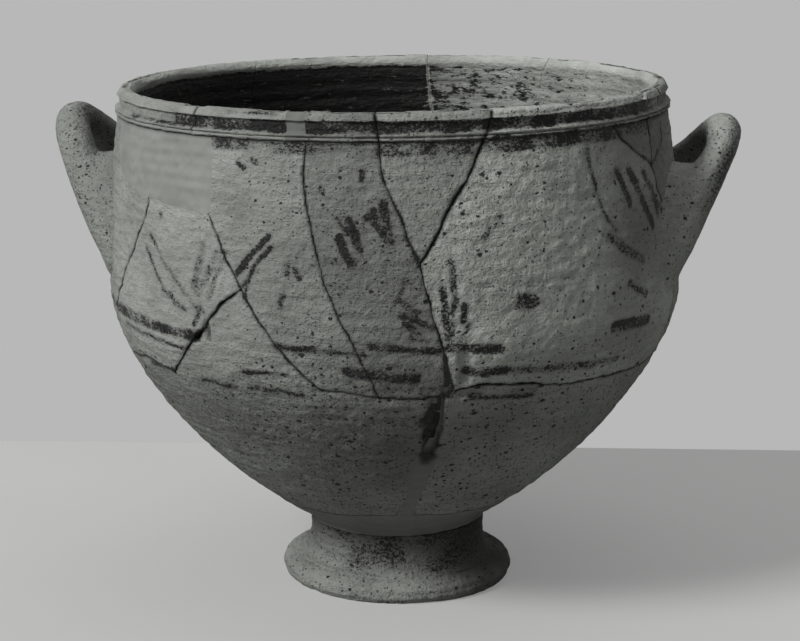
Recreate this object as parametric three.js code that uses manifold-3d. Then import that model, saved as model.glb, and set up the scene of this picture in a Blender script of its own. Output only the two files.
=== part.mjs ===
import * as THREE from 'three';
import { mergeVertices } from 'three/addons/utils/BufferGeometryUtils.js';
import Module from 'manifold-3d';

// A wheel-thrown terracotta krater, broken long ago and mended: sherds glued edge to edge, plaster where
// clay is lost. Millimetres and degrees, +Z up. The wheel axis is vertical through the foot, the front
// looks along -Y, and an angle round the pot counts from the front towards +X.

const wasm = await Module();
wasm.setup();

// Clearances and facets
const SEAT_GAP = 0.3;
const BREAK_WIDTH = 0.5;
const FACETS = 48;
const DIVISIONS = {
  fillet: 2,
  bowl: 8,
  shoulder: 4,
  bead: 3,
  lip: 4,
  floor: 3,
  hollow: 3,
  roll: 5,
  waist: 3,
};
const LONGEST_BREAK_STEP = 7;
const BREAK_OVERRUN = 1.2;
const MERGE_DISTANCE = 1e-4;

// Bowl: the wall's outer curve runs from the stem to the belly and up to the rim
const STEM_RADIUS = 49.6;
const STEM_TOP = 34.3;
const ROOT_RADIUS = 52;
const ROOT_HEIGHT = 38.5;
const ROOT_FLARE = 1.7;
const ROOT_FULLNESS = 32;
const BELLY_RADIUS = 157.5;
const BELLY_HEIGHT = 170.5;
const BELLY_FULLNESS = 37;
const SHOULDER_FULLNESS = 47.5;
const RIM_NECK_RADIUS = 150;
const RIM_NECK_HEIGHT = 266.4;
const WALL = 8;
const FLOOR_HEIGHT = 45.5;
const FLOOR_EDGE_HEIGHT = 50;

// Rim: two fine beads, a recessed groove and a rounded lip
const BEAD_HEIGHT = 2.1;
const BEAD_PROUD = 1.3;
const GROOVE_HEIGHT = 6;
const GROOVE_DEPTH = 1.4;
const LIP_HEIGHT = 4.8;
const LIP_THICKNESS = 9.2;
const LIP_SLOPE = 2.6;
const LIP_INNER_DROP = 6;
const LIP_BOTTOM = RIM_NECK_HEIGHT + 2 * BEAD_HEIGHT + GROOVE_HEIGHT;
const LIP_TOP = LIP_BOTTOM + LIP_HEIGHT;

// Foot: hollow underneath, with a rolled base, a groove above the roll and a waisted stem
const REST_RADIUS = 62.6;
const ROLL_RADIUS = 65.7;
const ROLL_FIRST_RISE = 2;
const ROLL_TOP = 11.6;
const ROLL_FULLNESS = 1;
const GROOVE_RADIUS = 56.2;
const GROOVE_WIDTH = 1;
const WAIST_RADIUS = 48.9;
const WAIST_HEIGHT = 27;
const REST_WIDTH = 11;
const HOLLOW_HEIGHT = 23;
const HOLLOW_FULLNESS = 0.8;
const STEM_SEAT_STEP = 0.4;
const STEM_SEAT_FLARE = 2;
const STEM_SEAT_OVERLAP = 4;

// Loop handles: two legs climb outwards along a bent path and meet at the top, and each grows
// thicker towards its root, till it is as thick as it gets where it enters the wall
const HANDLE_HALF_SPAN = 46;
const HANDLE_ROOT_DEPTH = 30.5;
const HANDLE_BEND = { out: 25.2, up: 31.7 };
const HANDLE_TOP = { out: 54.5, up: 76.2 };
const STRAND_RADIUS = 9.5;
const ROOT_WIDTH_RADIUS = 18;
const ROOT_DEPTH_RADIUS = 16;
const ROOT_WIDTH_POWER = 1.64;
const ROOT_DEPTH_POWER = 1.4;
const ROOT_SHARE = 0.62;
const STRAND_RINGS = 20;
const STRAND_SIDES = 12;
// Each handle's place: degrees round from +X, and its root's height in hundredths of the rim neck's
const HANDLES = {
  handle_left: { azimuth: 171, root: 68.2 },
  handle_right: { azimuth: -1, root: 65.6 },
};

// The bowl was set a little crooked on its foot
const BOWL_LEAN = 1.38;
const LEAN_PIVOT = 40;

// How far a break's slab reaches past the wall's outer face and into it, as shares of the wall
const BREAK_REACH_OUT = 0.6;
const BREAK_REACH_IN = 1.7;

// Heights on the wall are in hundredths of the rim neck's height, so that they follow it
const NECK = 100;
const CUT_TOP = LIP_TOP + LIP_HEIGHT / 2;
const ABOVE_RIM = CUT_TOP / RIM_NECK_HEIGHT * NECK;

// Where breaks meet: [degrees round, height, width in millimetres where it gapes]
const LEFT_FORK = [-49.5, 52.9, 0.9];
const LEFT_PEAK = [-28.6, 72.3, 0.7];
const SIDE_FORK = [-76, 52.2];
const FILL_LEFT_CORNER = [-53.4, 87.1];
const FILL_RIGHT_CORNER = [-36, 85.7];
const FILL_LEFT_TOP = [-73.2, NECK];
const FILL_RIGHT_TOP = [-36.2, NECK];
const STRIP_FOOT = [4.7, 77.7, 0.8];
const CHIP_LEFT_TOP = [48.2, NECK];
const CHIP_RIGHT_TOP = [69.7, NECK];
const CHIP_FOOT = [61.3, 91.2];
const RIGHT_FORK = [69, 50.8];

// Breaks right through the wall, each a list of such places
const BREAKS = {
  belt_left: [LEFT_FORK, [-58.3, 54.1], SIDE_FORK, [-100, 50.3], [-130, 51.4], [-160, 49.2], [-182, 50.7]],
  belt_back: [[-178, 50.5], [-210, 49.2], [-240, 51.1], [-265, 49.5], [-291, 50.8]],
  belt_front: [
    [74, 50.9], RIGHT_FORK, [59.3, 50.8], [48.7, 51.4], [35.3, 51.8], [28, 53.1, 0.8], [19.9, 54.1, 0.8],
    [16.3, 54.4, 0.9], [11.5, 53.2, 1.2], [9.7, 52.6, 1.4], [5.9, 52, 0.9], [0.7, 52], [-4.6, 52.6],
    [-14.3, 53.7],
  ],
  low_left_peak: [
    [-14.1, 53.7], [-17.3, 56.7], [-21.1, 61.6], [-25, 66.4], LEFT_PEAK, [-33.1, 69.1, 1.6],
    [-37.8, 63.6, 1.4], [-39.2, 62.1, 4.4], [-40.4, 61, 1.6], [-45.4, 56.3, 1.2], LEFT_FORK,
  ],
  front_left_run: [
    [-16, NECK], [-16.3, 94.6], [-15.5, 87.5], [-12.4, 74.7], [-8.8, 66.1], [-5.3, 58.6],
    [-2.7, 52.3],
  ],
  front_middle_run: [
    [-3.2, ABOVE_RIM], [-2.1, 100.2, 0.7], [-1.7, 93.8], [1.6, 86.3], STRIP_FOOT, [7.4, 67.9], [9, 61.6, 0.7],
    [9.5, 58.6, 2.4], [9.9, 56.3, 3], [10.3, 54.1, 5.2], [10, 52.5, 5.8],
  ],
  front_right_run: [
    [19.7, ABOVE_RIM], [18.6, 102.1, 0.8], [17.1, 99.5, 0.9], [13.7, 92.7, 1.2], [11.7, 90.1, 1.6],
    [9.2, 85.2, 1.6], [6.7, 80.7, 0.9], STRIP_FOOT,
  ],
  front_low_gap: [
    [8.9, 52, 2.6], [9, 48.8, 4.2], [9.2, 44.3, 3.8], [8.9, 41.7, 3.4], [8, 39.8, 6], [7.4, 38.7, 8.4],
    [7.5, 37.8, 7],
  ],
  tongue_left: [[6.1, 38.5], [4.5, 36], [4.2, 32.3], [3, 27.4], [1.6, 23.3], [0.5, 20.9]],
  tongue_right: [[8.9, 38.1], [9.4, 35.7], [8.8, 31.9], [7.8, 27.4], [6.6, 24], [6.4, 20.9]],
  left_panel_edge: [FILL_RIGHT_CORNER, [-35, 83.7], [-32.9, 79.6], LEFT_PEAK],
  left_side_run: [
    FILL_LEFT_CORNER, [-54.6, 83.3], [-59.2, 76.2], [-66.7, 67.9], [-71.5, 63.1], [-75, 57.4], SIDE_FORK,
  ],
  shoulder_fill_edge: [
    FILL_LEFT_TOP, [-72, 93.8], [-69, 90.1], [-62, 88.2], FILL_LEFT_CORNER, [-46, 86.3], FILL_RIGHT_CORNER,
    [-35.4, 92.3], FILL_RIGHT_TOP,
  ],
  shoulder_fill_top: [FILL_LEFT_TOP, FILL_RIGHT_TOP],
  rim_left_cut: [[-40.4, ABOVE_RIM], [-41.3, NECK]],
  rim_fill_edge: [
    [-19.9, ABOVE_RIM], [-19.7, NECK], [-15.9, NECK], [-16.3, ABOVE_RIM],
  ],
  right_side_run: [
    [70.4, ABOVE_RIM], CHIP_RIGHT_TOP, [68.4, 95.3], [66, 93.3], CHIP_FOOT, [63.4, 86.3], [67, 80],
    [69.6, 74.3], [71.6, 68.3], [72.5, 61.9], [71, 56.3], RIGHT_FORK,
  ],
  right_chip_edge: [CHIP_LEFT_TOP, [50.1, 97.6], [54.3, 95], CHIP_FOOT],
  right_chip_middle: [[61.5, NECK], [62.2, 95.3], CHIP_FOOT],
  right_chip_top: [CHIP_LEFT_TOP, CHIP_RIGHT_TOP],
  back_left_run: [
    [-144.5, ABOVE_RIM], [-143, 98.3], [-147, 88.2], [-141, 77], [-146, 65.7], [-142, 57.1], [-145, 50.3],
  ],
  back_middle_run: [
    [171.8, ABOVE_RIM], [171.5, 100.6], [170.7, 92.3], [166, 83.3], [169, 73.2], [163, 63.1], [166, 55.6],
    [165, 49.8],
  ],
  back_right_run: [
    [138.8, ABOVE_RIM], [141.7, 99.8], [144.2, 95.3], [148, 86.3], [143, 76.6], [147, 66.8], [144, 57.8],
    [146, 49.4],
  ],
  low_back_run: [[-165, 49.5], [-159, 43.5], [-167, 36], [-160, 29.3], [-165, 24], [-163, 19.3]],
  collar_seam_left: [
    [0.9, 20.9], [-10.7, 20.5], [-22.6, 19.7], [-50, 19.4], [-90, 19.8], [-130, 19.1], [-182, 19.5],
  ],
  collar_seam_right: [[6.4, 20.9], [21.7, 19.9], [47, 19.1], [90, 19.7], [135, 19], [182, 19.5]],
  // A break that stops inside its sherd
  left_hairline: [[-24.2, 78.8, 0.4], [-26.1, 75.8, 0.5], LEFT_PEAK],
};

// A rim chip: [degrees round, width along the rim, depth]
const RIM_CHIP = { degrees: 60.6, length: 11, depth: 2.2 };

// Pieces of the wall, found by a small marker inside each: degrees round, height, colour
const MARKER = 1;
const CLAY = 0x8c8c86;
const PLASTER = 0x9d9d97;
const PIECES = {
  foot_collar: [-60, 16.5, PLASTER],
  fill_left_shoulder: [-55, 93.8, PLASTER],
  fill_rim_front: [-17.9, 103.2, PLASTER],
  sherd_front_left: [-25, 88.2, CLAY],
  sherd_front_strip: [-6, 80.7, CLAY],
  sherd_front_wedge: [8, 93.8, CLAY],
  sherd_front_right: [35, 75.1, CLAY],
  chip_right_inner: [57, 96.8, CLAY],
  chip_right_outer: [65, 97.2, CLAY],
  sherd_left_panel: [-50, 65.7, CLAY],
  sherd_left_side: [-100, 84.5, CLAY],
  sherd_low_left: [-60, 37.5, CLAY],
  sherd_low_right: [60, 37.5, CLAY],
  sherd_back_left: [-165, 75.1, CLAY],
  sherd_back_middle: [155, 75.1, CLAY],
  sherd_right_side: [105, 75.1, CLAY],
};
const FOOT_COLOUR = 0x92928c;
const HANDLE_COLOUR = 0x96968f;
const FIRED_ROUGHNESS = 0.9;

const flat = (radius, height) => new THREE.Vector2(radius, height);
const radians = THREE.MathUtils.degToRad;

// Solids

function solidOf(geometry) {
  const bare = geometry.clone();
  bare.deleteAttribute('normal');
  bare.deleteAttribute('uv');
  const merged = mergeVertices(bare, MERGE_DISTANCE);
  const corners = merged.index.array;
  const kept = [];
  for (let i = 0; i < corners.length; i += 3) {
    const [a, b, c] = [corners[i], corners[i + 1], corners[i + 2]];
    if (a !== b && b !== c && c !== a) kept.push(a, b, c);
  }
  return new wasm.Manifold(new wasm.Mesh({
    numProp: 3,
    vertProperties: merged.attributes.position.array,
    triVerts: new Uint32Array(kept),
  }));
}

function meshOf(name, solid, colour) {
  const { vertProperties, triVerts } = solid.getMesh();
  const geometry = new THREE.BufferGeometry();
  geometry.setAttribute('position', new THREE.BufferAttribute(vertProperties, 3));
  geometry.setIndex(new THREE.BufferAttribute(triVerts, 1));
  geometry.computeVertexNormals();
  const material = new THREE.MeshStandardMaterial({
    color: colour,
    roughness: FIRED_ROUGHNESS,
    metalness: 0,
  });
  const mesh = new THREE.Mesh(geometry, material);
  mesh.name = name;
  return mesh;
}

// Turns a closed half profile round the wheel axis, with angle 0 at the front
function thrown(profile) {
  return new THREE.LatheGeometry(profile, FACETS).rotateX(Math.PI / 2);
}

// A closed skin over rings of points, each ring convex, with flat ends. Each patch is split along its
// shorter diagonal, so that a thin skin that twists doesn't pass through itself.
function skinned(rings) {
  const sides = rings[0].length;
  const index = [];
  for (let ring = 0; ring + 1 < rings.length; ring += 1) {
    for (let side = 0; side < sides; side += 1) {
      const next = (side + 1) % sides;
      const [a, b] = [ring * sides + side, ring * sides + next];
      const [c, d] = [b + sides, a + sides];
      const fromA = rings[ring][side].distanceTo(rings[ring + 1][next]);
      const fromB = rings[ring][next].distanceTo(rings[ring + 1][side]);
      if (fromA < fromB) index.push(a, b, c, a, c, d);
      else index.push(a, b, d, b, c, d);
    }
  }
  const last = (rings.length - 1) * sides;
  for (let side = 1; side + 1 < sides; side += 1) {
    index.push(0, side + 1, side, last, last + side, last + side + 1);
  }
  const geometry = new THREE.BufferGeometry().setFromPoints(rings.flat());
  geometry.setIndex(index);
  return geometry;
}

// Profiles

// The outer face of the wall, from the stem's top to just under the rim
function wallCurve() {
  const filletHeight = ROOT_HEIGHT - (ROOT_RADIUS - STEM_RADIUS) / ROOT_FLARE;
  const fillet = new THREE.QuadraticBezierCurve(
    flat(STEM_RADIUS, STEM_TOP),
    flat(STEM_RADIUS, filletHeight),
    flat(ROOT_RADIUS, ROOT_HEIGHT),
  );
  const bowl = new THREE.CubicBezierCurve(
    flat(ROOT_RADIUS, ROOT_HEIGHT),
    flat(ROOT_RADIUS + ROOT_FLARE * ROOT_FULLNESS, ROOT_HEIGHT + ROOT_FULLNESS),
    flat(BELLY_RADIUS, BELLY_HEIGHT - BELLY_FULLNESS),
    flat(BELLY_RADIUS, BELLY_HEIGHT),
  );
  const shoulder = new THREE.QuadraticBezierCurve(
    flat(BELLY_RADIUS, BELLY_HEIGHT),
    flat(BELLY_RADIUS, BELLY_HEIGHT + SHOULDER_FULLNESS),
    flat(RIM_NECK_RADIUS, RIM_NECK_HEIGHT),
  );
  return [
    ...fillet.getPoints(DIVISIONS.fillet),
    ...bowl.getPoints(DIVISIONS.bowl).slice(1),
    ...shoulder.getPoints(DIVISIONS.shoulder).slice(1),
  ];
}

// A line moved sideways: positive is outwards for a curve that climbs
function movedSideways(line, distance) {
  return line.map((point, i) => {
    const before = line[Math.max(i - 1, 0)];
    const after = line[Math.min(i + 1, line.length - 1)];
    const along = after.clone().sub(before).normalize();
    return flat(point.x + along.y * distance, point.y - along.x * distance);
  });
}

// Beads, groove and lip, from the top of the outer wall over to the inner one
function rimCurve() {
  const beadFoot = RIM_NECK_RADIUS;
  const grooveRadius = RIM_NECK_RADIUS - GROOVE_DEPTH;
  const bead = (bottom) => new THREE.QuadraticBezierCurve(
    flat(beadFoot, bottom),
    flat(beadFoot + 2 * BEAD_PROUD, bottom + BEAD_HEIGHT / 2),
    flat(beadFoot, bottom + BEAD_HEIGHT),
  ).getPoints(DIVISIONS.bead).slice(1);
  const lipInner = RIM_NECK_RADIUS - LIP_THICKNESS;
  const lipOver = new THREE.CubicBezierCurve(
    flat(RIM_NECK_RADIUS - LIP_SLOPE / 2, LIP_BOTTOM + LIP_HEIGHT / 2),
    flat(RIM_NECK_RADIUS - LIP_SLOPE, LIP_TOP),
    flat(lipInner, LIP_TOP),
    flat(lipInner, LIP_TOP - LIP_INNER_DROP),
  );
  return [
    ...bead(RIM_NECK_HEIGHT),
    ...bead(RIM_NECK_HEIGHT + BEAD_HEIGHT),
    flat(grooveRadius, LIP_BOTTOM - GROOVE_HEIGHT + GROOVE_DEPTH / 2),
    flat(grooveRadius, LIP_BOTTOM - GROOVE_DEPTH / 2),
    flat(RIM_NECK_RADIUS, LIP_BOTTOM),
    ...lipOver.getPoints(DIVISIONS.lip),
  ];
}

function bowlProfile() {
  const outer = wallCurve();
  const inner = movedSideways(outer, -WALL).filter((point) => point.y > FLOOR_EDGE_HEIGHT);
  const edge = inner[0];
  const floor = new THREE.QuadraticBezierCurve(
    edge,
    flat(edge.x - (edge.y - FLOOR_HEIGHT) * ROOT_FLARE, FLOOR_HEIGHT),
    flat(0, FLOOR_HEIGHT),
  );
  return [
    flat(0, STEM_TOP),
    ...outer,
    ...rimCurve(),
    ...inner.reverse().slice(1),
    ...floor.getPoints(DIVISIONS.floor).slice(1),
  ];
}

// The bowl's outside grown by the seat gap: what is luted to the wall is cut back to this
function bowlEnvelope() {
  const grown = movedSideways(wallCurve(), SEAT_GAP);
  const clearOfBeads = RIM_NECK_RADIUS + BEAD_PROUD + SEAT_GAP;
  return [
    flat(0, STEM_TOP - SEAT_GAP),
    flat(STEM_RADIUS + SEAT_GAP, STEM_TOP - SEAT_GAP),
    ...grown,
    flat(clearOfBeads, RIM_NECK_HEIGHT + SEAT_GAP),
    flat(clearOfBeads, CUT_TOP),
    flat(0, CUT_TOP),
  ];
}

function footProfile() {
  const roll = new THREE.CubicBezierCurve(
    flat(REST_RADIUS, 0),
    flat(ROLL_RADIUS + ROLL_FULLNESS, ROLL_FIRST_RISE),
    flat(ROLL_RADIUS + ROLL_FULLNESS, ROLL_TOP),
    flat(GROOVE_RADIUS, ROLL_TOP),
  );
  const waist = new THREE.QuadraticBezierCurve(
    flat(GROOVE_RADIUS, ROLL_TOP + GROOVE_WIDTH),
    flat(WAIST_RADIUS, ROLL_TOP + 2 * GROOVE_WIDTH),
    flat(WAIST_RADIUS, WAIST_HEIGHT),
  );
  const restInner = REST_RADIUS - REST_WIDTH;
  const hollow = new THREE.QuadraticBezierCurve(
    flat(0, HOLLOW_HEIGHT),
    flat(restInner * HOLLOW_FULLNESS, HOLLOW_HEIGHT),
    flat(restInner, 0),
  );
  return [
    ...hollow.getPoints(DIVISIONS.hollow),
    ...roll.getPoints(DIVISIONS.roll),
    ...waist.getPoints(DIVISIONS.waist),
    flat(STEM_RADIUS - STEM_SEAT_STEP, STEM_TOP - STEM_SEAT_FLARE),
    flat(STEM_RADIUS - STEM_SEAT_STEP, STEM_TOP + STEM_SEAT_OVERLAP),
    flat(0, STEM_TOP + STEM_SEAT_OVERLAP),
  ];
}

// Breaks

// A place on the outer wall with its outward normal, from hundredths of the neck's height
function placeOnWall(degrees, share) {
  const height = share / NECK * RIM_NECK_HEIGHT;
  const line = wallCurve();
  let radius = RIM_NECK_RADIUS;
  let slope = flat(0, 1);
  if (height < RIM_NECK_HEIGHT) {
    const over = Math.max(1, line.findIndex((point) => point.y > height));
    const under = over - 1;
    const part = (height - line[under].y) / (line[over].y - line[under].y);
    const slopeAt = (i) => {
      const [before, after] = [line[Math.max(i - 1, 0)], line[Math.min(i + 1, line.length - 1)]];
      return after.clone().sub(before).normalize();
    };
    radius = THREE.MathUtils.lerp(line[under].x, line[over].x, part);
    slope = slopeAt(under).lerp(slopeAt(over), part).normalize();
  }
  const round = radians(degrees);
  const outward = new THREE.Vector3(Math.sin(round), -Math.cos(round), 0);
  return {
    point: outward.clone().multiplyScalar(radius).setZ(height),
    normal: outward.clone().multiplyScalar(slope.y).setZ(-slope.x).normalize(),
  };
}

// Adds stations so that no step goes further round the pot than the wall's curve allows
function closelySpaced(route) {
  const stations = [route[0]];
  for (let i = 1; i < route.length; i += 1) {
    const [from, to] = [route[i - 1], route[i]];
    const steps = Math.ceil(Math.abs(to[0] - from[0]) / LONGEST_BREAK_STEP) || 1;
    for (let step = 1; step <= steps; step += 1) {
      const share = step / steps;
      stations.push([
        THREE.MathUtils.lerp(from[0], to[0], share),
        THREE.MathUtils.lerp(from[1], to[1], share),
        THREE.MathUtils.lerp(from[2] ?? BREAK_WIDTH, to[2] ?? BREAK_WIDTH, share),
      ]);
    }
  }
  return stations;
}

// A thin slab that follows a break, square to the wall and through both of its faces
function breakCutter(route) {
  const stations = closelySpaced(route);
  const places = stations.map(([degrees, height]) => placeOnWall(degrees, height));
  const rings = places.map(({ point, normal }, i) => {
    const before = places[Math.max(i - 1, 0)].point;
    const after = places[Math.min(i + 1, places.length - 1)].point;
    const along = after.clone().sub(before).normalize();
    const half = (stations[i][2] ?? BREAK_WIDTH) / 2;
    const across = normal.clone().cross(along).normalize().multiplyScalar(half);
    const middle = point.clone();
    if (i === 0) middle.addScaledVector(along, -BREAK_OVERRUN);
    if (i === places.length - 1) middle.addScaledVector(along, BREAK_OVERRUN);
    const outer = middle.clone().addScaledVector(normal, WALL * BREAK_REACH_OUT);
    const inner = middle.clone().addScaledVector(normal, -WALL * BREAK_REACH_IN);
    return [
      outer.clone().add(across),
      outer.clone().sub(across),
      inner.clone().sub(across),
      inner.clone().add(across),
    ];
  });
  return solidOf(skinned(rings));
}

// Handles

// One loop, built to stand out along +X: the strand rises from a root in the wall and comes back to the other
function handleLoop({ azimuth, root }) {
  const start = new THREE.Vector3(BELLY_RADIUS - HANDLE_ROOT_DEPTH, 0, root / NECK * RIM_NECK_HEIGHT);
  const bend = start.clone().add(new THREE.Vector3(HANDLE_BEND.out, 0, HANDLE_BEND.up));
  const top = start.clone().add(new THREE.Vector3(HANDLE_TOP.out, 0, HANDLE_TOP.up));
  const rings = [];
  for (let ring = 0; ring <= STRAND_RINGS; ring += 1) {
    const turn = Math.PI * ring / STRAND_RINGS;
    const climb = Math.sin(turn);
    const toBend = start.clone().lerp(bend, climb);
    const toTop = bend.clone().lerp(top, climb);
    const rise = toTop.clone().sub(toBend).multiplyScalar(2);
    const middle = toBend.clone().lerp(toTop, climb);
    middle.y = -HANDLE_HALF_SPAN * Math.cos(turn);
    const along = rise.clone().multiplyScalar(Math.cos(turn));
    along.y = HANDLE_HALF_SPAN * climb;
    const square = new THREE.Vector3(-rise.z, 0, rise.x).normalize();
    const aside = square.clone().cross(along.normalize());
    const nearRoot = Math.min((1 - climb) / ROOT_SHARE, 1);
    const width = THREE.MathUtils.lerp(STRAND_RADIUS, ROOT_WIDTH_RADIUS, nearRoot ** ROOT_WIDTH_POWER);
    const depth = THREE.MathUtils.lerp(STRAND_RADIUS, ROOT_DEPTH_RADIUS, nearRoot ** ROOT_DEPTH_POWER);
    rings.push(Array.from({ length: STRAND_SIDES }, (_, side) => {
      const round = 2 * Math.PI * side / STRAND_SIDES;
      return middle.clone()
        .addScaledVector(aside, width * Math.cos(round))
        .addScaledVector(square, depth * Math.sin(round));
    }));
  }
  return skinned(rings).rotateZ(radians(azimuth));
}

// Assembly

const bowl = new THREE.Group();
const tilt = new THREE.Group();
tilt.rotation.y = -radians(BOWL_LEAN);
tilt.position.z = LEAN_PIVOT;
bowl.position.z = -LEAN_PIVOT;
tilt.add(bowl);

const leaning = new THREE.Matrix4()
  .makeTranslation(0, 0, LEAN_PIVOT)
  .multiply(new THREE.Matrix4().makeRotationY(-radians(BOWL_LEAN)))
  .multiply(new THREE.Matrix4().makeTranslation(0, 0, -LEAN_PIVOT));

function chipCutter() {
  const { degrees, length, depth } = RIM_CHIP;
  const cutter = new THREE.SphereGeometry(1, 16, 10);
  cutter.scale(depth * 2, length / 2, depth * 2);
  cutter.translate(RIM_NECK_RADIUS, 0, LIP_TOP - LIP_HEIGHT / 3);
  return solidOf(cutter.rotateZ(radians(degrees - 90)));
}

function brokenWall() {
  let wall = solidOf(thrown(bowlProfile())).subtract(chipCutter());
  for (const route of Object.values(BREAKS)) {
    wall = wall.subtract(breakCutter(route));
  }
  const loose = wall.decompose();
  for (const [name, [degrees, height, colour]] of Object.entries(PIECES)) {
    const { point, normal } = placeOnWall(degrees, height);
    const marker = new THREE.BoxGeometry(MARKER, MARKER, MARKER);
    marker.translate(...point.addScaledVector(normal, -WALL / 2).toArray());
    const found = loose.find((body) => body.intersect(solidOf(marker)).volume() > 0);
    bowl.add(meshOf(name, found, colour));
  }
}

brokenWall();

const envelope = thrown(bowlEnvelope());
for (const [name, place] of Object.entries(HANDLES)) {
  const loop = solidOf(handleLoop(place)).subtract(solidOf(envelope));
  bowl.add(meshOf(name, loop, HANDLE_COLOUR));
}

const foot = solidOf(thrown(footProfile())).subtract(solidOf(envelope.clone().applyMatrix4(leaning)));

const krater = new THREE.Group();
krater.add(meshOf('foot', foot, FOOT_COLOUR), tilt);

// The origin is on the floor, under the middle of the whole vessel
const extent = new THREE.Box3().setFromObject(krater);
const centre = extent.getCenter(new THREE.Vector3());
krater.position.set(-centre.x, -centre.y, 0);

export default krater;
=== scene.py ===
"""A wheel-thrown terracotta krater, broken long ago and mended.

The bowl's wall is one thrown surface, cut along its breaks into sherds and plaster fills. Two loop
handles are luted to the wall, and a hollow foot carries the bowl. Everything is in metres, with the
wheel axis upright through the foot and the front towards -Y.
"""

import itertools
import math

import bmesh
import bpy
import numpy as np
from mathutils import Matrix, Vector


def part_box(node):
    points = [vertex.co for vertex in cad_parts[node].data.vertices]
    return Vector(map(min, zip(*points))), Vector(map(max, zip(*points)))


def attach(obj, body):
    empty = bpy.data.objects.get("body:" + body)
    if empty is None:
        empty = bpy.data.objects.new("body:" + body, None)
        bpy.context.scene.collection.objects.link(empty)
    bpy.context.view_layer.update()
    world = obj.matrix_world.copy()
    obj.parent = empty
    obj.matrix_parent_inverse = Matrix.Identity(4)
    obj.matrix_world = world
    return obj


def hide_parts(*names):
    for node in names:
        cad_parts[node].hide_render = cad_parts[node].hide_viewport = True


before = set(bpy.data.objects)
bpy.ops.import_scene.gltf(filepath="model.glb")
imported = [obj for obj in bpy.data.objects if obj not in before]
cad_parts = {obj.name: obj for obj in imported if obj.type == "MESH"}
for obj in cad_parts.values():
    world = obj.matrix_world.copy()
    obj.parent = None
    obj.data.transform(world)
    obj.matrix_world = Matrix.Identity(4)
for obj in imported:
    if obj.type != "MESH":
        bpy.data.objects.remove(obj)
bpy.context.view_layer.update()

bl_info = {
    "name": "Mended krater",
    "version": (1, 0, 0),
    "blender": (4, 5, 0),
    "location": "View3D > Sidebar > Krater",
    "description": "Dresses the solids of a thrown mixing bowl as fired clay, worn paint and plaster",
    "category": "Object",
}

MM = 0.001
BEAD_PROUD, BEAD_HEIGHT = 1.3 * MM, 2.1 * MM
RIDGE_SPACING, INNER_RIDGE_SPACING = 6.5 * MM, 9 * MM
WEAR_REACH = 0.62 * MM
PLASTER_SPREAD, PLASTER_RECESS = 0.45 * MM, 0.05 * MM
INNER_TONE = 1.45
NARROWEST_STROKE = 2.1
FOOT_LOW, FOOT_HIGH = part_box("foot")
WHEEL_AXIS_X = (FOOT_LOW.x + FOOT_HIGH.x) / 2
BOWL_LEAN = math.radians(1.38)
LEAN_PIVOT = 0.040

PLASTER_PIECES = ("foot_collar", "fill_left_shoulder", "fill_rim_front")
LOWER_PIECES = ("foot_collar", "sherd_low_left", "sherd_low_right")
OTHER_PIECES = ("foot", "handle_left", "handle_right")

# Painted bands that survive round the wall: (height mm, half width mm, from, to degrees, strength)
BANDS = (
    (166.5, 3.2, -76, -52, 0.72), (165.5, 3.0, -52, -40, 0.80), (164.0, 0.8, -70, -44, 0.45),
    # The first band on the next line, 0.8 mm half width at 265.4 mm under the rim's beads, is paint with
    # painted shade in the beads' undercut.
    (265.4, 0.8, -72, 68, 0.85), (264.0, 4.2, 18, 52, 0.70), (264.0, 3.6, 52, 64, 0.45),
    (264.0, 3.2, -37, -27, 0.55), (263.0, 3.0, -22, -9, 0.45), (262.5, 3.2, -3, 17, 0.50),
    (273.4, 3.2, -46, 64, 0.80), (271.0, 0.9, -62, 66, 0.70), (279.6, 1.0, -31, -21, 0.70),
    (278.2, 0.8, 20, 50, 0.45),
)

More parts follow.
